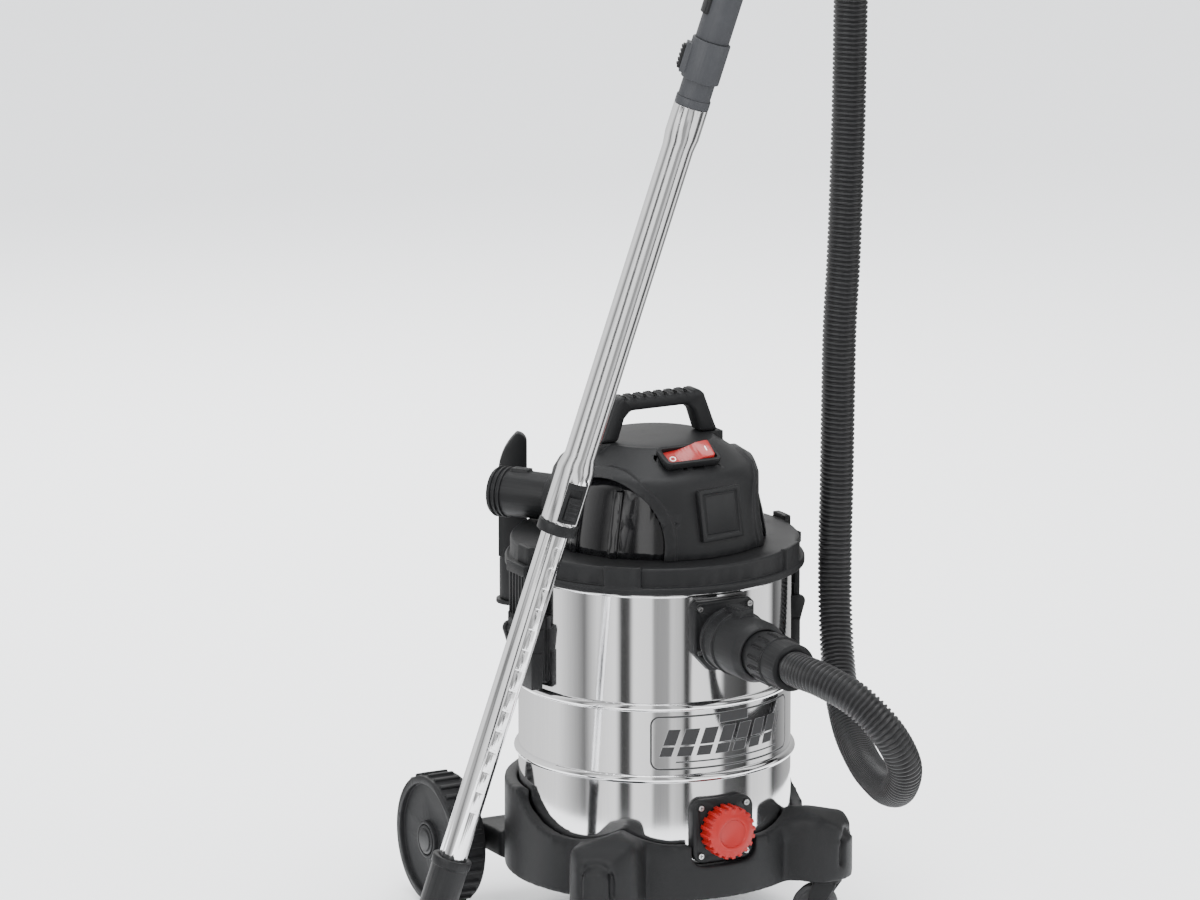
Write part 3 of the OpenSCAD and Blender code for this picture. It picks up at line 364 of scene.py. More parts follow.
def badge_mask(f, around, z):
    """A plain printed badge on the drum: a rounded frame and slanted bars."""
    x, y = around, z - (DRUM_LOW.z + BADGE_UP)
    out_x = (abs(x) - (BADGE_HALF_X - BADGE_CORNER)).highest(0.0)
    out_y = (abs(y) - (BADGE_HALF_Y - BADGE_CORNER)).highest(0.0)
    edge = (out_x * out_x + out_y * out_y) ** 0.5
    frame_line = edge.between(BADGE_CORNER - BADGE_LINE, BADGE_CORNER, 0.0002)
    slant = x - y * BADGE_SLANT
    inside = abs(y).step(0.0155, 0.0158)
    bars = (slant % BADGE_BAR_STEP).between(0.003, 0.0205, 0.0003) * (1 - inside)
    bars = bars * slant.between(-0.088, 0.0765, 0.0003)
    split = y.between(-0.0045, -0.0028, 0.0002)
    rule = y.between(-0.0232, -0.0214, 0.0002) * slant.between(-0.066, 0.082, 0.0003)
    plate = y.between(0.0195, 0.0312, 0.0003) * x.between(-0.02, 0.02, 0.0003)
    return frame_line.highest(bars * (1 - split)).highest(rule).highest(plate).clamped()


def drum_steel(tone, ink):
    """Bright rolled steel, brushed up and down, with a weld line behind, a printed badge, painted reflection bands
    up and down it and painted shade at its foot.
    """
    f = Finish("drum_steel", Metallic=1.0)
    x, y, z = f.axes(f.moved(centre=(DRUM_X, DRUM_Y, 0), turn=(0, 0, math.radians(-7))))
    angle = f.around_axis(x, y)
    around = angle * ((DRUM_HIGH.x - DRUM_LOW.x) / 2)
    hairs = f.noise(f.joined(around * 900.0, z * 9.0, x * 3.0), 1.0, 6.0, 0.75)
    # Broad bands up and down the drum. In the bump they are a real ripple in the rolled sheet, and in the colour
    # they are painted reflection bands.
    sheet_ripple_and_painted_bands = f.noise(f.joined(around * 34.0, z * 1.6, 0.0), 1.0, 3.0)
    wipes = f.noise(f.joined(around * 9.0, z * 14.0, y * 5.0), 1.0, 5.0, 0.6).step(0.5, 0.85)
    weld = (1 - abs(abs(angle) - math.pi).step(0.004, 0.03)) * z.step(0.0, 0.1)
    badge = badge_mask(f, around, z) * (y < 0.0)
    # Painted shade: the lowest part of the drum is painted a little darker.
    painted_foot_shade = 1 - z.step(DRUM_LOW.z - 0.02, DRUM_LOW.z + 0.16)
    steel = f.shade(tone, 0.84 + hairs * 0.2 + sheet_ripple_and_painted_bands * 0.1 - wipes * 0.03 - painted_foot_shade * 0.05)
    f.set("Base Color", f.mix(badge, f.mix(weld * 0.6, steel, (0.42, 0.39, 0.36)), ink))
    f.set("Metallic", 1 - badge)
    f.set("Roughness", 0.045 + hairs * 0.07 + wipes * 0.05 + weld * 0.25 + badge * 0.5)
    f.bump(hairs * 0.04 + sheet_ripple_and_painted_bands * 0.35 + badge * 0.02, 0.00012)
    return f.material


def plated_tube(tone):
    """Chrome plate with drawn lines along the wand and soft rubs."""
    f = Finish("plated_tube", Metallic=1.0)
    tilt = WAND.to_track_quat("Z", "Y").inverted().to_euler()
    x, y, z = f.axes(f.node("ShaderNodeMapping", {"vector_type": "POINT"},
                            {"Vector": f.place, "Rotation": tuple(tilt)}).outputs[0])
    lines = f.noise(f.joined(x * 900.0, y * 900.0, z * 6.0), 1.0, 5.0, 0.7)
    rubs = f.noise(f.joined(x * 40.0, y * 40.0, z * 30.0), 1.0, 5.0, 0.65).step(0.5, 0.8)
    rings = f.noise(f.joined(x * 3.0, y * 3.0, z * 700.0), 1.0, 2.0).step(0.55, 0.75)
    f.set("Base Color", f.shade(tone, 0.9 + lines * 0.12 - rubs * 0.05))
    f.set("Roughness", 0.05 + lines * 0.05 + rubs * 0.09 + rings * 0.05)
    f.bump(lines * 0.2 + rings * 0.1 + f.noise(f.place, 30.0) * 0.8, 0.0002)
    return f.material


def metal(name, tone, rough, streaks):
    """Plain machined or plated metal with scratches and tarnish."""
    f = Finish(name, Metallic=1.0)
    lines = f.noise(f.moved(scale=streaks), 1.0, 5.0, 0.7)
    tarnish = f.noise(f.place, 60.0, 5.0, 0.6).step(0.45, 0.8)
    f.set("Base Color", f.shade(tone, 0.82 + lines * 0.24 - tarnish * 0.18))
    f.set("Roughness", rough + lines * 0.12 + tarnish * 0.14)
    f.bump(lines, 0.00008)
    return f.material


def hose_plastic(tone):
    """Blow-moulded hose: its grooves painted darker than its crests as painted shade, some crests paler still
    where rubbed, and fine lines round it.
    """
    f = Finish("hose_plastic", Coat=0.1, Coat_Roughness=0.3, Specular=0.35)
    crest = f.value(f.node("ShaderNodeAttribute", {"attribute_name": "crest"}).outputs["Fac"])
    wear = f.noise(f.place, 240.0, 4.0, 0.6)
    clouds = f.noise(f.place, 22.0, 4.0)
    rubbed = crest * wear.step(0.45, 0.75)
    # The crests are painted lighter than the grooves, which is painted shade in the grooves. Where the wear noise
    # rubs a crest, it is paler still (real wear).
    f.set("Base Color", f.shade(tone, 0.55 + crest * 0.5 + rubbed * 0.5 + clouds * 0.3))
    f.set("Roughness", 0.34 + clouds * 0.1 + rubbed * 0.08 - crest * 0.04)
    f.bump(f.noise(f.place, 1800.0, 2.0), 0.00008)
    return f.material


def soft_rubber(tone):
    """Rubber with a bloom, small nicks and a dull tooth."""
    f = Finish("soft_rubber")
    bloom = f.noise(f.place, 34.0, 5.0, 0.6)
    nicks = f.cells(f.place, 420.0).step(0.05, 0.3)
    f.set("Base Color", f.shade(tone, 0.7 + bloom * 0.55 + nicks * 0.1))
    f.set("Roughness", 0.62 + bloom * 0.2)
    f.bump(nicks * 0.5 + f.noise(f.place, 900.0) * 0.5, 0.00018)
    return f.material


def pleated_paper(tone):
    """Filter paper: fibres, and a darker tone deep in its folds."""
    f = Finish("pleated_paper")
    x, y, _ = f.axes(f.moved(centre=(DRUM_X, DRUM_Y, 0)))
    fibres = f.noise(f.moved(scale=(1, 1, 0.25)), 900.0, 4.0, 0.7)
    reach = (x * x + y * y) ** 0.5
    deep = 1 - reach.step(0.071, 0.079)
    f.set("Base Color", f.shade(tone, 0.82 + fibres * 0.2 - deep * 0.2))
    f.set("Roughness", 0.86 + fibres * 0.1)
    f.bump(fibres, 0.0002)
    return f.material


def wound_copper(tone):
    """Varnished windings, turn beside turn, with a painted highlight along each turn and painted shade where two
    turns meet.
    """
    f = Finish("wound_copper", Metallic=0.7, Coat=0.4)
    z = f.axes(f.place)[2]
    turn_relief_and_painted_shade = (z * 5200.0).sine() * 0.5 + 0.5
    varnish = f.noise(f.place, 80.0, 4.0)
    # Each turn's middle is painted lighter and the line between two turns darker, which is painted highlight and
    # painted shade. The same ripple feeds the bump as real relief.
    f.set("Base Color", f.shade(tone, 0.6 + turn_relief_and_painted_shade * 0.5 + varnish * 0.3))
    f.set("Roughness", 0.28 + varnish * 0.25)
    f.bump(turn_relief_and_painted_shade, 0.0003)
    return f.material


def rocker_red(tone, marks):
    """Red moulding with the plain on and off marks printed on the rocker's face."""
    tilt = joint("power_rocker_tilt")
    slope = math.atan2(tilt["axis"][2], tilt["axis"][1])
    f = Finish("rocker_red", Coat=0.35, Coat_Roughness=0.12)
    x, y, z = f.axes(f.moved(centre=tuple(tilt["pos_m"]), turn=(-slope, 0, 0)))
    top = z.step(0.002, 0.003)
    away = ((x + 0.019) * (x + 0.019) + y * y) ** 0.5
    ring = away.between(0.0026, 0.0036, 0.00015)
    bar = (abs(x - 0.0195).between(-0.01, 0.0006, 0.0001)
           * abs(y).between(-0.01, 0.0034, 0.0001))
    printed = (ring.highest(bar) * top).clamped()
    clouds = f.noise(f.place, 60.0, 4.0)
    f.set("Base Color", f.mix(printed, f.shade(tone, 0.9 + clouds * 0.2), marks))
    f.set("Roughness", 0.26 + clouds * 0.12 + printed * 0.2)
    f.bump(f.noise(f.place, 1400.0, 2.0) * 0.4 + printed * 0.3, 0.0001)
    return f.material


FINISHES = {}


def make_finishes():
    """Makes every material once."""
    c = settings().colours
    FINISHES.update({
        "stainless_steel": drum_steel(c.steel, (0.012, 0.012, 0.013)),
        "chromed_tube": plated_tube(c.chrome),
        "black_plastic": moulding("black_moulding", c.black, 0.40, 0.00012),
        "carriage_plastic": moulding("carriage_moulding", c.carriage, 0.44, 0.00016, 0.9),
        "gloss_black": polished_moulding("gloss_moulding", c.gloss),
        "grip_grey": moulding("grip_moulding", c.grip, 0.45, 0.0001),
        "red_plastic": moulding("red_moulding", c.red, 0.36, 0.00008, 0.4, 0.2),
        "rocker": rocker_red(c.red, c.marks),
        "wheel_plastic": moulding("wheel_moulding", c.carriage, 0.5, 0.00014, 1.2),
        "caster_rubber": soft_rubber(c.rubber),
        "seal_rubber": soft_rubber(c.rubber),
        "hose_plastic": hose_plastic(c.hose),
        "zinc_steel": metal("zinc_steel", c.zinc, 0.25, (300, 300, 300)),
        "motor_metal": metal("cast_aluminium", (0.52, 0.53, 0.55), 0.42, (90, 90, 90)),
        "copper_windings": wound_copper(c.windings),
        "white_plastic": moulding("natural_moulding", c.natural, 0.4, 0.00008, 0.2),
        "filter_paper": pleated_paper(c.filter),
    })


# ---------------------------------------------------------------- modelling by hand


def only(*objects):
    """Selects just these objects, and makes the first one active."""
    if bpy.context.mode != "OBJECT":
        bpy.ops.object.mode_set(mode="OBJECT")
    bpy.ops.object.select_all(action="DESELECT")
    for o in objects:
        o.select_set(True)
    bpy.context.view_layer.objects.active = objects[0]


def settle(piece, name):
    """Names a piece and moves its place into its mesh."""
    piece.name = piece.data.name = name
    only(piece)
    bpy.ops.object.transform_apply(location=True, rotation=True, scale=True)


def primitive(kind, name, **options):
    """A new cube, cylinder or plane with a name of its own."""
    bpy.ops.object.select_all(action="DESELECT")
    getattr(bpy.ops.mesh, f"primitive_{kind}_add")(**options)
    piece = bpy.context.active_object
    piece.name = name
    return piece


def modifier(piece, kind, **options):
    """Adds a modifier and applies it."""
    m = piece.modifiers.new(kind.title(), kind)
    for option, value in options.items():
        setattr(m, option, value)
    only(piece)
    bpy.ops.object.modifier_apply(modifier=m.name)


def soften(piece, width, segments=3, angle=32, smooth=38):
    """Rounds a piece's sharp edges and shades it smooth."""
    only(piece)
    bpy.ops.object.shade_smooth()
    modifier(piece, "BEVEL", width=width, segments=segments, limit_method="ANGLE",
             angle_limit=math.radians(angle), use_clamp_overlap=False, harden_normals=True)
    only(piece)
    bpy.ops.object.shade_smooth_by_angle(angle=math.radians(smooth), keep_sharp_edges=False)


def merged_copy(node, name, whole_flats=True):
    """A copy of a CAD piece with its doubles merged and, if wanted, its flat faces made whole."""
    piece = bpy.data.objects.new(name, frame["nodes"][node].data.copy())
    bpy.context.scene.collection.objects.link(piece)
    piece.data.name = name
    only(piece)
    bpy.ops.mesh.customdata_custom_splitnormals_clear()
    bpy.ops.object.mode_set(mode="EDIT")
    bpy.ops.mesh.select_all(action="SELECT")
    bpy.ops.mesh.remove_doubles(threshold=0.00002)
    if whole_flats:
        bpy.ops.mesh.dissolve_limited(angle_limit=math.radians(0.15))
    bpy.ops.object.mode_set(mode="OBJECT")
    return piece


def pick(piece, wanted):
    """Leaves the piece in edit mode with the wanted faces selected."""
    only(piece)
    bpy.ops.object.mode_set(mode="EDIT")
    bpy.ops.mesh.select_mode(type="FACE")
    bpy.ops.mesh.select_all(action="DESELECT")
    bpy.ops.object.mode_set(mode="OBJECT")
    for face in piece.data.polygons:
        face.select = wanted(face)
    bpy.ops.object.mode_set(mode="EDIT")


def inset_facing(piece, way, insets):
    """Steps the large flat that looks one way in and out, by each inset's width and depth."""
    pick(piece, lambda face: face.normal.dot(way) > 0.97 and face.area > 0.001)
    for thickness, depth in insets:
        bpy.ops.mesh.inset(thickness=thickness, depth=depth)
    bpy.ops.object.mode_set(mode="OBJECT")


def slot_of(node):
    """The record's material slot of a CAD node."""
    return next(s["material_slot"] for s in frame["record"]["subparts"] if s["node"] == node)


def body_of(node):
    """The body that a CAD node belongs to."""
    return next(b for b, nodes in frame["record"]["behaviour"]["bodies"].items() if node in nodes)


def dress(piece, finish):
    """Gives a piece one material."""
    piece.data.materials.clear()
    piece.data.materials.append(FINISHES[finish])


def finish_piece(piece, body, finish, *nodes):
    """Dresses a new piece, makes it ride on its body and lets it stand for CAD nodes."""
    dress(piece, finish)
    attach(piece, body)
    finish in {m["slot"] for m in frame["record"]["materials"]}
    if nodes:
        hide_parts(*nodes)
    return piece


def rounded(node, width, segments=3, finish=None, angle=32):
    """Stands a rounded copy of a CAD piece in its place."""
    piece = merged_copy(node, node + "_moulded")
    soften(piece, width, segments, angle)
    return finish_piece(piece, body_of(node), finish or slot_of(node), node)


def keep(*nodes, finish=None):
    """Shows CAD pieces as they are, smooth and in their finish."""
    for node in nodes:
        dress(frame["nodes"][node], finish or slot_of(node))


# ---------------------------------------------------------------- the stage


class SHOPVAC_OT_stage(bpy.types.Operator):
    """Sets the camera, the pale floor, the soft lights and a reflected light tent"""

    bl_idname = "shopvac.stage"
    bl_label = "Stage"

    def execute(self, context):
        turn, rise, away, wide = math.radians(-28), math.radians(13.3), 10.0, 1.356
        target = Vector((DRUM_X - 0.0548, DRUM_Y + 0.0291, 0.543))
        level = math.cos(rise)
        back = Vector((math.sin(turn) * level, -math.cos(turn) * level, math.sin(rise)))
        data = bpy.data.cameras.new("view")
        data.lens, data.sensor_width = 36 * away / wide, 36
        data.clip_end = 100
        camera = bpy.data.objects.new("view", data)
        camera.location = target + back * away
        camera.rotation_euler = (-back).to_track_quat("-Z", "Y").to_euler()
        context.scene.collection.objects.link(camera)
        context.scene.camera = camera
        self.floor()
        self.lights(context, target)
        self.tent()
        return {"FINISHED"}

    def floor(self):
        """A wide pale floor."""
        floor = primitive("plane", "floor", size=80)
        f = Finish("pale_floor", Roughness=0.9, Specular=0.1)
        f.set("Base Color", f.shade((0.93, 0.93, 0.93), 0.995 + f.noise(f.place, 3.0) * 0.01))
        floor.data.materials.append(f.material)

    def lights(self, context, target):
        """Big soft lights above, to both sides and behind."""
        world = bpy.data.worlds.new("studio")
        world.use_nodes = True
        sky, strength = world.node_tree.nodes["Background"].inputs[:2]
        sky.default_value, strength.default_value = (0.95, 0.97, 1.0, 1), 2.15
        context.scene.world = world
        for name, place, size, power in (
            ("top", (0.3, -0.4, 3.4), 3.0, 110),
            ("left", (-3.0, -1.6, 1.8), 1.6, 80),
            ("right", (2.4, -2.6, 1.6), 1.2, 45),
            ("behind", (0.8, 2.8, 2.2), 2.0, 90),
        ):
            data = bpy.data.lights.new(name, "AREA")
            data.size, data.energy = size, power
            lamp = bpy.data.objects.new(name, data)
            lamp.location = place
            lamp.rotation_euler = (target - Vector(place)).to_track_quat("-Z", "Y").to_euler()
            context.scene.collection.objects.link(lamp)

    def tent(self):
        """A round tent with dark and bright strips that only reflections see."""
        tent = primitive("cylinder", "tent", vertices=96, radius=0.66, depth=2.4,
                         end_fill_type="NOTHING", location=(DRUM_X, DRUM_Y, 1.19))
        f = Finish("tent_strips")
        x, y, _ = f.axes(f.place)
        ramp = f.node("ShaderNodeValToRGB", {"stops": TENT_STRIPS},
                      {0: f.around_axis(x, y) / math.tau + 0.5})
        glow = f.node("ShaderNodeEmission", None, {"Color": ramp.outputs[0], "Strength": 1.0})
        f.tree.links.new(glow.outputs[0], f.output.inputs[0])
        tent.data.materials.append(f.material)
        tent.visible_camera = tent.visible_diffuse = tent.visible_shadow = False
        tent.visible_transmission = tent.visible_volume_scatter = False


# Where the tent is bright or dark: from the back round by the left to the front, then by the right
TENT_STRIPS = [
    (0.0, 1.0), (0.2, 1.3), (0.27, 0.2), (0.3, 1.2), (0.34, 1.5), (0.352, 0.06), (0.37, 0.1),
    (0.378, 1.5), (0.415, 1.4), (0.42, 0.38), (0.45, 0.45), (0.455, 1.0), (0.478, 0.7),
    (0.484, 0.06), (0.494, 0.08), (0.5, 1.5), (0.56, 1.35), (0.572, 0.15), (0.63, 0.06),
    (0.642, 1.2), (0.70, 1.4), (0.72, 0.08), (0.78, 0.5), (1.0, 1.0),
]


# ---------------------------------------------------------------- the hose


# The hose's route about the drum's axis in millimetres, from its cuff to the wand's grip
HOSE_ROUTE = [
    (0, -305, 363), (0, -340, 363), (8, -378, 360), (28, -416, 344), (54, -438, 310),
    (80, -430, 268), (95, -395, 232), (110, -345, 216), (130, -282, 210), (150, -218, 212),
    (165, -160, 232), (177, -118, 268), (186, -92, 310), (192, -76, 365), (194, -72, 430),
    (196, -71, 500), (197, -71, 580), (198, -72, 677), (201, -74, 750), (203, -75, 817),
    (205, -76, 900), (206, -77, 980), (206, -79, 1060), (206, -85, 1130), (204, -105, 1195),
    (198, -140, 1245), (187, -185, 1280), (171, -232, 1297), (150, -275, 1298), (122, -308, 1286),
    (90, -325, 1267), (60, -325, 1244), (33, -312, 1220), (5, -297, 1195),
]


SPAN_STEPS = 24
RIB_PROFILE = (1.0, 0.92, 0.3, 0.0, 0.3, 0.92)


def smooth_line(points, step):
    """Points at an even step along one smooth curve through the given points."""
    dense = []
    ends = [points[0] * 2 - points[1], *points, points[-1] * 2 - points[-2]]
    for a, b, c, d in zip(ends, ends[1:], ends[2:], ends[3:]):
        for i in range(SPAN_STEPS):
            t = i / SPAN_STEPS
            dense.append(0.5 * (2 * b + (c - a) * t + (2 * a - 5 * b + 4 * c - d) * t * t
                                + (3 * b - a - 3 * c + d) * t * t * t))
    dense.append(points[-1])
    total = sum((q - p).length for p, q in zip(dense, dense[1:]))
    steps = round(total / step)
    out, i, walked = [], 0, 0.0
    for k in range(steps + 1):
        at = total * k / steps
        while i < len(dense) - 2 and walked + (dense[i + 1] - dense[i]).length < at:
            walked += (dense[i + 1] - dense[i]).length
            i += 1
        span = (dense[i + 1] - dense[i]).length
        out.append(dense[i].lerp(dense[i + 1], min((at - walked) / span, 1.0)))
    return out, total


class SHOPVAC_OT_hose(bpy.types.Operator):
    """Sweeps the ribbed hose from its cuff at the drum to the wand's grip"""

    bl_idname = "shopvac.hose"
    bl_label = "Hose"

    def execute(self, context):
        sizes = settings().hose
        route = [Vector((DRUM_X + x * MM, DRUM_Y + y * MM, z * MM)) for x, y, z in HOSE_ROUTE]
        line, total = smooth_line(route, sizes.pitch / len(RIB_PROFILE))
        mesh = bmesh.new()
        crest = mesh.verts.layers.float.new("crest")
        side = Vector((1, 0, 0))
        rings = []
        for i, point in enumerate(line):
            ahead = (line[min(i + 1, len(line) - 1)] - line[max(i - 1, 0)]).normalized()
            side = (side - ahead * side.dot(ahead)).normalized()
            up = ahead.cross(side)
            rise = RIB_PROFILE[i % len(RIB_PROFILE)]
            r = sizes.radius - sizes.groove * (1 - rise)
            ring = []
            for k in range(sizes.sides):
                a = math.tau * k / sizes.sides
                v = mesh.verts.new(point + (side * math.cos(a) + up * math.sin(a)) * r)
                v[crest] = rise
                ring.append(v)
            rings.append(ring)
        for first, second in zip(rings, rings[1:]):
            for k in range(sizes.sides):
                n = (k + 1) % sizes.sides
                mesh.faces.new((first[k], first[n], second[n], second[k]))
        mesh.faces.new(list(reversed(rings[0])))
        mesh.faces.new(rings[-1])
        bmesh.ops.recalc_face_normals(mesh, faces=mesh.faces)
        data = bpy.data.meshes.new("ribbed_hose")
        mesh.to_mesh(data)
        mesh.free()
        hose = bpy.data.objects.new("ribbed_hose", data)
        context.scene.collection.objects.link(hose)
        only(hose)
        bpy.ops.object.shade_smooth()
        finish_piece(hose, "cart", "hose_plastic", "hose")
        crests = [tuple(p) for p in line[::6]] + [tuple(line[-1])]
        return {"FINISHED"}


# ---------------------------------------------------------------- the cart


class SHOPVAC_OT_drum(bpy.types.Operator):
    """Polishes the drum"""

    bl_idname = "shopvac.drum"
    bl_label = "Drum"

    def execute(self, context):
        piece = merged_copy("drum", "polished_drum", whole_flats=False)
        only(piece)
        bpy.ops.object.shade_smooth_by_angle(angle=math.radians(40), keep_sharp_edges=False)
        finish_piece(piece, "cart", "stainless_steel", "drum")
        return {"FINISHED"}


# How far out and how high the upper half of a front leg begins
CREST_REACH, CREST_FOOT = 0.168, 0.108


class SHOPVAC_OT_carriage(bpy.types.Operator):
    """Rounds the moulded carriage and its casters, and dresses its axle"""

    bl_idname = "shopvac.carriage"
    bl_label = "Carriage"

    def execute(self, context):
        edges = settings().edges
        self.melted("base_carriage", edges)
        keep("rear_axle")
        for side in ("left", "right"):
            rounded("caster_fork_" + side, edges.small)
            rounded("caster_wheel_" + side, edges.medium)
        return {"FINISHED"}

    def on_crest(self, point):
        """Whether a point is on the upper half of one of the two front legs."""
        x, y = point.x - DRUM_X, point.y - DRUM_Y
        turn = abs(math.degrees(math.atan2(x, -y)))
        return 20 < turn < 70 and math.hypot(x, y) > CREST_REACH and point.z > CREST_FOOT

    def melted(self, node, edges):
        """Flows the legs, the skirt and the axle box into one soft moulding."""
        piece = merged_copy(node, "moulded_carriage", whole_flats=False)
        modifier(piece, "REMESH", mode="VOXEL", voxel_size=edges.grain, adaptivity=edges.grain / 4)
        modifier(piece, "SMOOTH", factor=0.5, iterations=edges.melting)
        crests = piece.vertex_groups.new(name="crests")
        crests.add([v.index for v in piece.data.vertices if self.on_crest(v.co)], 1.0, "REPLACE")
        modifier(piece, "SMOOTH", factor=0.5, iterations=edges.crest_melting,
                 vertex_group="crests")
        only(piece)
        bpy.ops.object.shade_smooth()
        finish_piece(piece, body_of(node), slot_of(node), node)


class SHOPVAC_OT_wheels(bpy.types.Operator):
    """Rounds the big rear wheels and their caps"""

    bl_idname = "shopvac.wheels"
    bl_label = "Rear wheels"

    def execute(self, context):
        edges = settings().edges
        for side in ("left", "right"):
            rounded("rear_wheel_" + side, edges.medium)
            rounded("hub_cap_" + side, edges.medium)
        return {"FINISHED"}


class SHOPVAC_OT_inlet(bpy.types.Operator):
    """Rounds the hose inlet, its turning collar and the hose's cuff"""

    bl_idname = "shopvac.inlet"
    bl_label = "Inlet"

    def execute(self, context):
        edges = settings().edges
        for node in ("inlet_flange", "hose_collar", "hose_cuff"):
            rounded(node, edges.medium)
        keep("inlet_screws", "inlet_deflector")
        return {"FINISHED"}


CAP_RIBS, CAP_RIB_RISE, CAP_FACE_RISE = 20, 0.0026, 0.003
# Each inset's width and depth: the cap's raised ring with its dished middle, and its cup behind
CAP_FACE = ((0.0045, 0.0015), (0.003, 0.0015), (0.0035, 0.0), (0.001, -0.0022))
CAP_CUP = ((0.005, 0.0), (0.0001, -0.0118))


class SHOPVAC_OT_drain(bpy.types.Operator):
    """Rounds the drain's flange and its knurled cap"""

    bl_idname = "shopvac.drain"
    bl_label = "Drain"

    def execute(self, context):
        edges = settings().edges
        rounded("drain_flange", edges.medium)
        self.cap(edges)
        keep("drain_screws", "drain_seal")
        return {"FINISHED"}

    def cap(self, edges):
        """The red cap: grip ribs round a cup, with a raised ring on its face."""
        low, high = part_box("drain_cap")
        reach, depth = (high.x - low.x) / 2, high.y - low.y
        cap = primitive("cylinder", "ribbed_cap", vertices=CAP_RIBS * 4, location=(0, 0, 0),
                        radius=reach - CAP_RIB_RISE, depth=depth - CAP_FACE_RISE)
        pick(cap, self.on_rib)
        bpy.ops.mesh.extrude_region_shrink_fatten(
            TRANSFORM_OT_shrink_fatten={"value": CAP_RIB_RISE})
        bpy.ops.object.mode_set(mode="OBJECT")
        inset_facing(cap, Vector((0, 0, 1)), CAP_FACE)
        inset_facing(cap, Vector((0, 0, -1)), CAP_CUP)
        cap.rotation_euler = (math.pi / 2, 0, 0)
        cap.location = (low + high) / 2 + Vector((0, CAP_FACE_RISE / 2, 0))
        settle(cap, "ribbed_cap")
        soften(cap, edges.small, 3, 28)
        finish_piece(cap, "drain_cap", "red_plastic", "drain_cap")

    def on_rib(self, face):
        """Whether a face of the cap's side is one of the two that carry each rib."""
        turn = math.atan2(face.center.y, face.center.x) / math.tau * CAP_RIBS * 4
        return abs(face.normal.z) < 0.5 and int(math.floor(turn)) % 4 < 2


class SHOPVAC_OT_latches(bpy.types.Operator):
    """Rounds the two latches and their brackets"""

    bl_idname = "shopvac.latches"
    bl_label = "Latches"

    def execute(self, context):
        edges = settings().edges
        for side in ("left", "right"):
            rounded("latch_base_" + side, edges.medium)
            rounded("latch_lever_" + side, edges.small)
        return {"FINISHED"}


# ---------------------------------------------------------------- the head


class SHOPVAC_OT_lid(bpy.types.Operator):
    """Rounds the lid's ring"""

    bl_idname = "shopvac.lid"
    bl_label = "Lid"

    def execute(self, context):
        rounded("lid_ring", settings().edges.medium)
        keep("lid_seal", "head_screws")
        return {"FINISHED"}


PANEL_SIZE = (0.056, 0.0065, 0.058)
PANEL_LEAN, PANEL_TURN = math.radians(-9), math.radians(8)
# Each inset's width and depth: the rim, the groove's wall and floor, and the field's edge
PANEL_INSETS = ((0.0045, 0.0), (0.0012, -0.0016), (0.0014, 0.0), (0.001, 0.0009))


class SHOPVAC_OT_head(bpy.types.Operator):
    """Rounds the head's cover, its side covers and its front panel"""

    bl_idname = "shopvac.head"
    bl_label = "Head"

    def execute(self, context):
        edges = settings().edges
        rounded("head_shell", edges.medium)
        for side in ("left", "right"):
            rounded("side_insert_" + side, edges.small, 2)
        self.panel(edges)
        return {"FINISHED"}

    def panel(self, edges):
        """The front panel: a rounded rim, a groove and a field that stands a little lower."""
        low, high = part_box("front_panel")
        piece = primitive("cube", "framed_panel", size=1, location=(0, 0, 0))
        bpy.ops.object.mode_set(mode="EDIT")
        bpy.ops.transform.resize(value=PANEL_SIZE)
        bpy.ops.object.mode_set(mode="OBJECT")
        inset_facing(piece, Vector((0, -1, 0)), PANEL_INSETS)
        soften(piece, edges.small / 2, 2, 24)
        piece.rotation_euler = (PANEL_LEAN, 0, PANEL_TURN)
        piece.location = (low + high) / 2
        settle(piece, "framed_panel")
        finish_piece(piece, "head", slot_of("front_panel"), "front_panel")


class SHOPVAC_OT_handle(bpy.types.Operator):
    """Rounds the carry handle"""

    bl_idname = "shopvac.handle"
    bl_label = "Carry handle"

    def execute(self, context):
        rounded("carry_handle", settings().edges.handle, 4, angle=30)
        return {"FINISHED"}


class SHOPVAC_OT_switch(bpy.types.Operator):
    """Rounds the rocker and its bezel"""

    bl_idname = "shopvac.switch"
    bl_label = "Switch"

    def execute(self, context):
        edges = settings().edges
        rounded("switch_bezel", edges.small)
        rounded("power_rocker", edges.small, 3, "rocker")
        return {"FINISHED"}


class SHOPVAC_OT_ports(bpy.types.Operator):
    """Rounds the blower port, the cord's gland, the tool holder and the crevice tool"""

    bl_idname = "shopvac.ports"
    bl_label = "Ports and holder"

    def execute(self, context):
        edges = settings().edges
        for node in ("blower_port", "cord_gland", "tool_holder", "crevice_tool"):
            rounded(node, edges.medium)
        return {"FINISHED"}


class SHOPVAC_OT_insides(bpy.types.Operator):
    """Dresses the motor, the fan, the float and the filter"""

    bl_idname = "shopvac.insides"
    bl_label = "Motor and filter"

    def execute(self, context):
        keep("motor_housing", "motor_rotor", "impeller", "float_cage", "float_ball",
             "cartridge_filter", "filter_retainer")
        return {"FINISHED"}


# ---------------------------------------------------------------- the wand


class SHOPVAC_OT_wand(bpy.types.Operator):
    """Polishes the wand's two tubes and rounds its sleeve and button"""

    bl_idname = "shopvac.wand"
    bl_label = "Wand"

    def execute(self, context):
        edges = settings().edges
        for node in ("wand_upper_tube", "wand_lower_tube"):
            rounded(node, edges.small / 3, 2)
        for node in ("wand_sleeve", "wand_button"):
            rounded(node, edges.small)
        return {"FINISHED"}


class SHOPVAC_OT_grip(bpy.types.Operator):
    """Rounds the grip, its collar and its two buttons"""

    bl_idname = "shopvac.grip"
    bl_label = "Grip"

    def execute(self, context):
        edges = settings().edges
        for node in ("grip_collar", "grip_handle", "grip_slide"):
            rounded(node, edges.medium)
        rounded("grip_latch", edges.small)
        return {"FINISHED"}


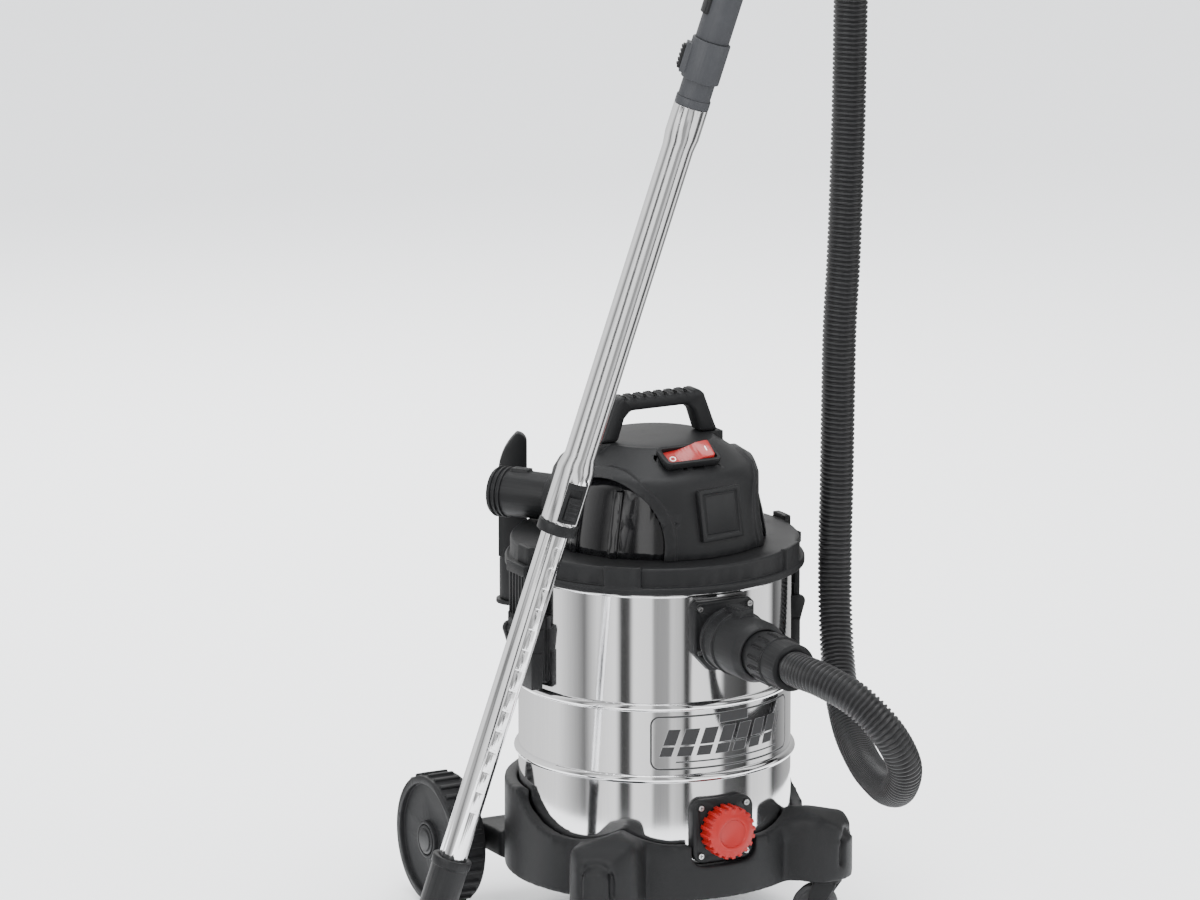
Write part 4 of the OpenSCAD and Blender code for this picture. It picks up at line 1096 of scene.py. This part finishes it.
class SHOPVAC_OT_floor_tool(bpy.types.Operator):
    """Rounds the floor tool and its neck"""

    bl_idname = "shopvac.floor_tool"
    bl_label = "Floor tool"

    def execute(self, context):
        edges = settings().edges
        for node in ("floor_neck", "floor_tool"):
            rounded(node, edges.medium)
        keep("floor_strips")
        return {"FINISHED"}


# ---------------------------------------------------------------- the add-on


STEPS = (
    SHOPVAC_OT_stage, SHOPVAC_OT_hose, SHOPVAC_OT_drum, SHOPVAC_OT_carriage, SHOPVAC_OT_wheels,
    SHOPVAC_OT_inlet, SHOPVAC_OT_drain, SHOPVAC_OT_latches, SHOPVAC_OT_lid, SHOPVAC_OT_head,
    SHOPVAC_OT_handle, SHOPVAC_OT_switch, SHOPVAC_OT_ports, SHOPVAC_OT_insides, SHOPVAC_OT_wand,
    SHOPVAC_OT_grip, SHOPVAC_OT_floor_tool,
)


class SHOPVAC_PT_panel(bpy.types.Panel):
    """Lists the machine's pieces and settings"""

    bl_idname = "SHOPVAC_PT_panel"
    bl_label = "Shop Vacuum"
    bl_space_type = "VIEW_3D"
    bl_region_type = "UI"
    bl_category = "Shop Vacuum"

    def draw(self, context):
        for group in ("hose", "edges", "colours"):
            box = self.layout.box()
            box.label(text=group.title())
            sizes = getattr(context.scene.shop_vac, group)
            for prop in sizes.bl_rna.properties:
                if prop.identifier not in {"rna_type", "name"}:
                    box.prop(sizes, prop.identifier)
        for step in STEPS:
            self.layout.operator(step.bl_idname)


CLASSES = (HoseSizes, EdgeSizes, Colours, ShopVacSettings, *STEPS, SHOPVAC_PT_panel)


def register():
    """Registers the classes and the scene's settings."""
    for c in CLASSES:
        bpy.utils.register_class(c)
    bpy.types.Scene.shop_vac = PointerProperty(type=ShopVacSettings)


def unregister():
    """Takes the classes and the scene's settings away."""
    del bpy.types.Scene.shop_vac
    for c in reversed(CLASSES):
        bpy.utils.unregister_class(c)


def main():
    """Builds every piece."""
    register()
    make_finishes()
    for step in STEPS:
        group, name = step.bl_idname.split(".")
        getattr(getattr(bpy.ops, group), name)()


if __name__ == "__main__":
    main()
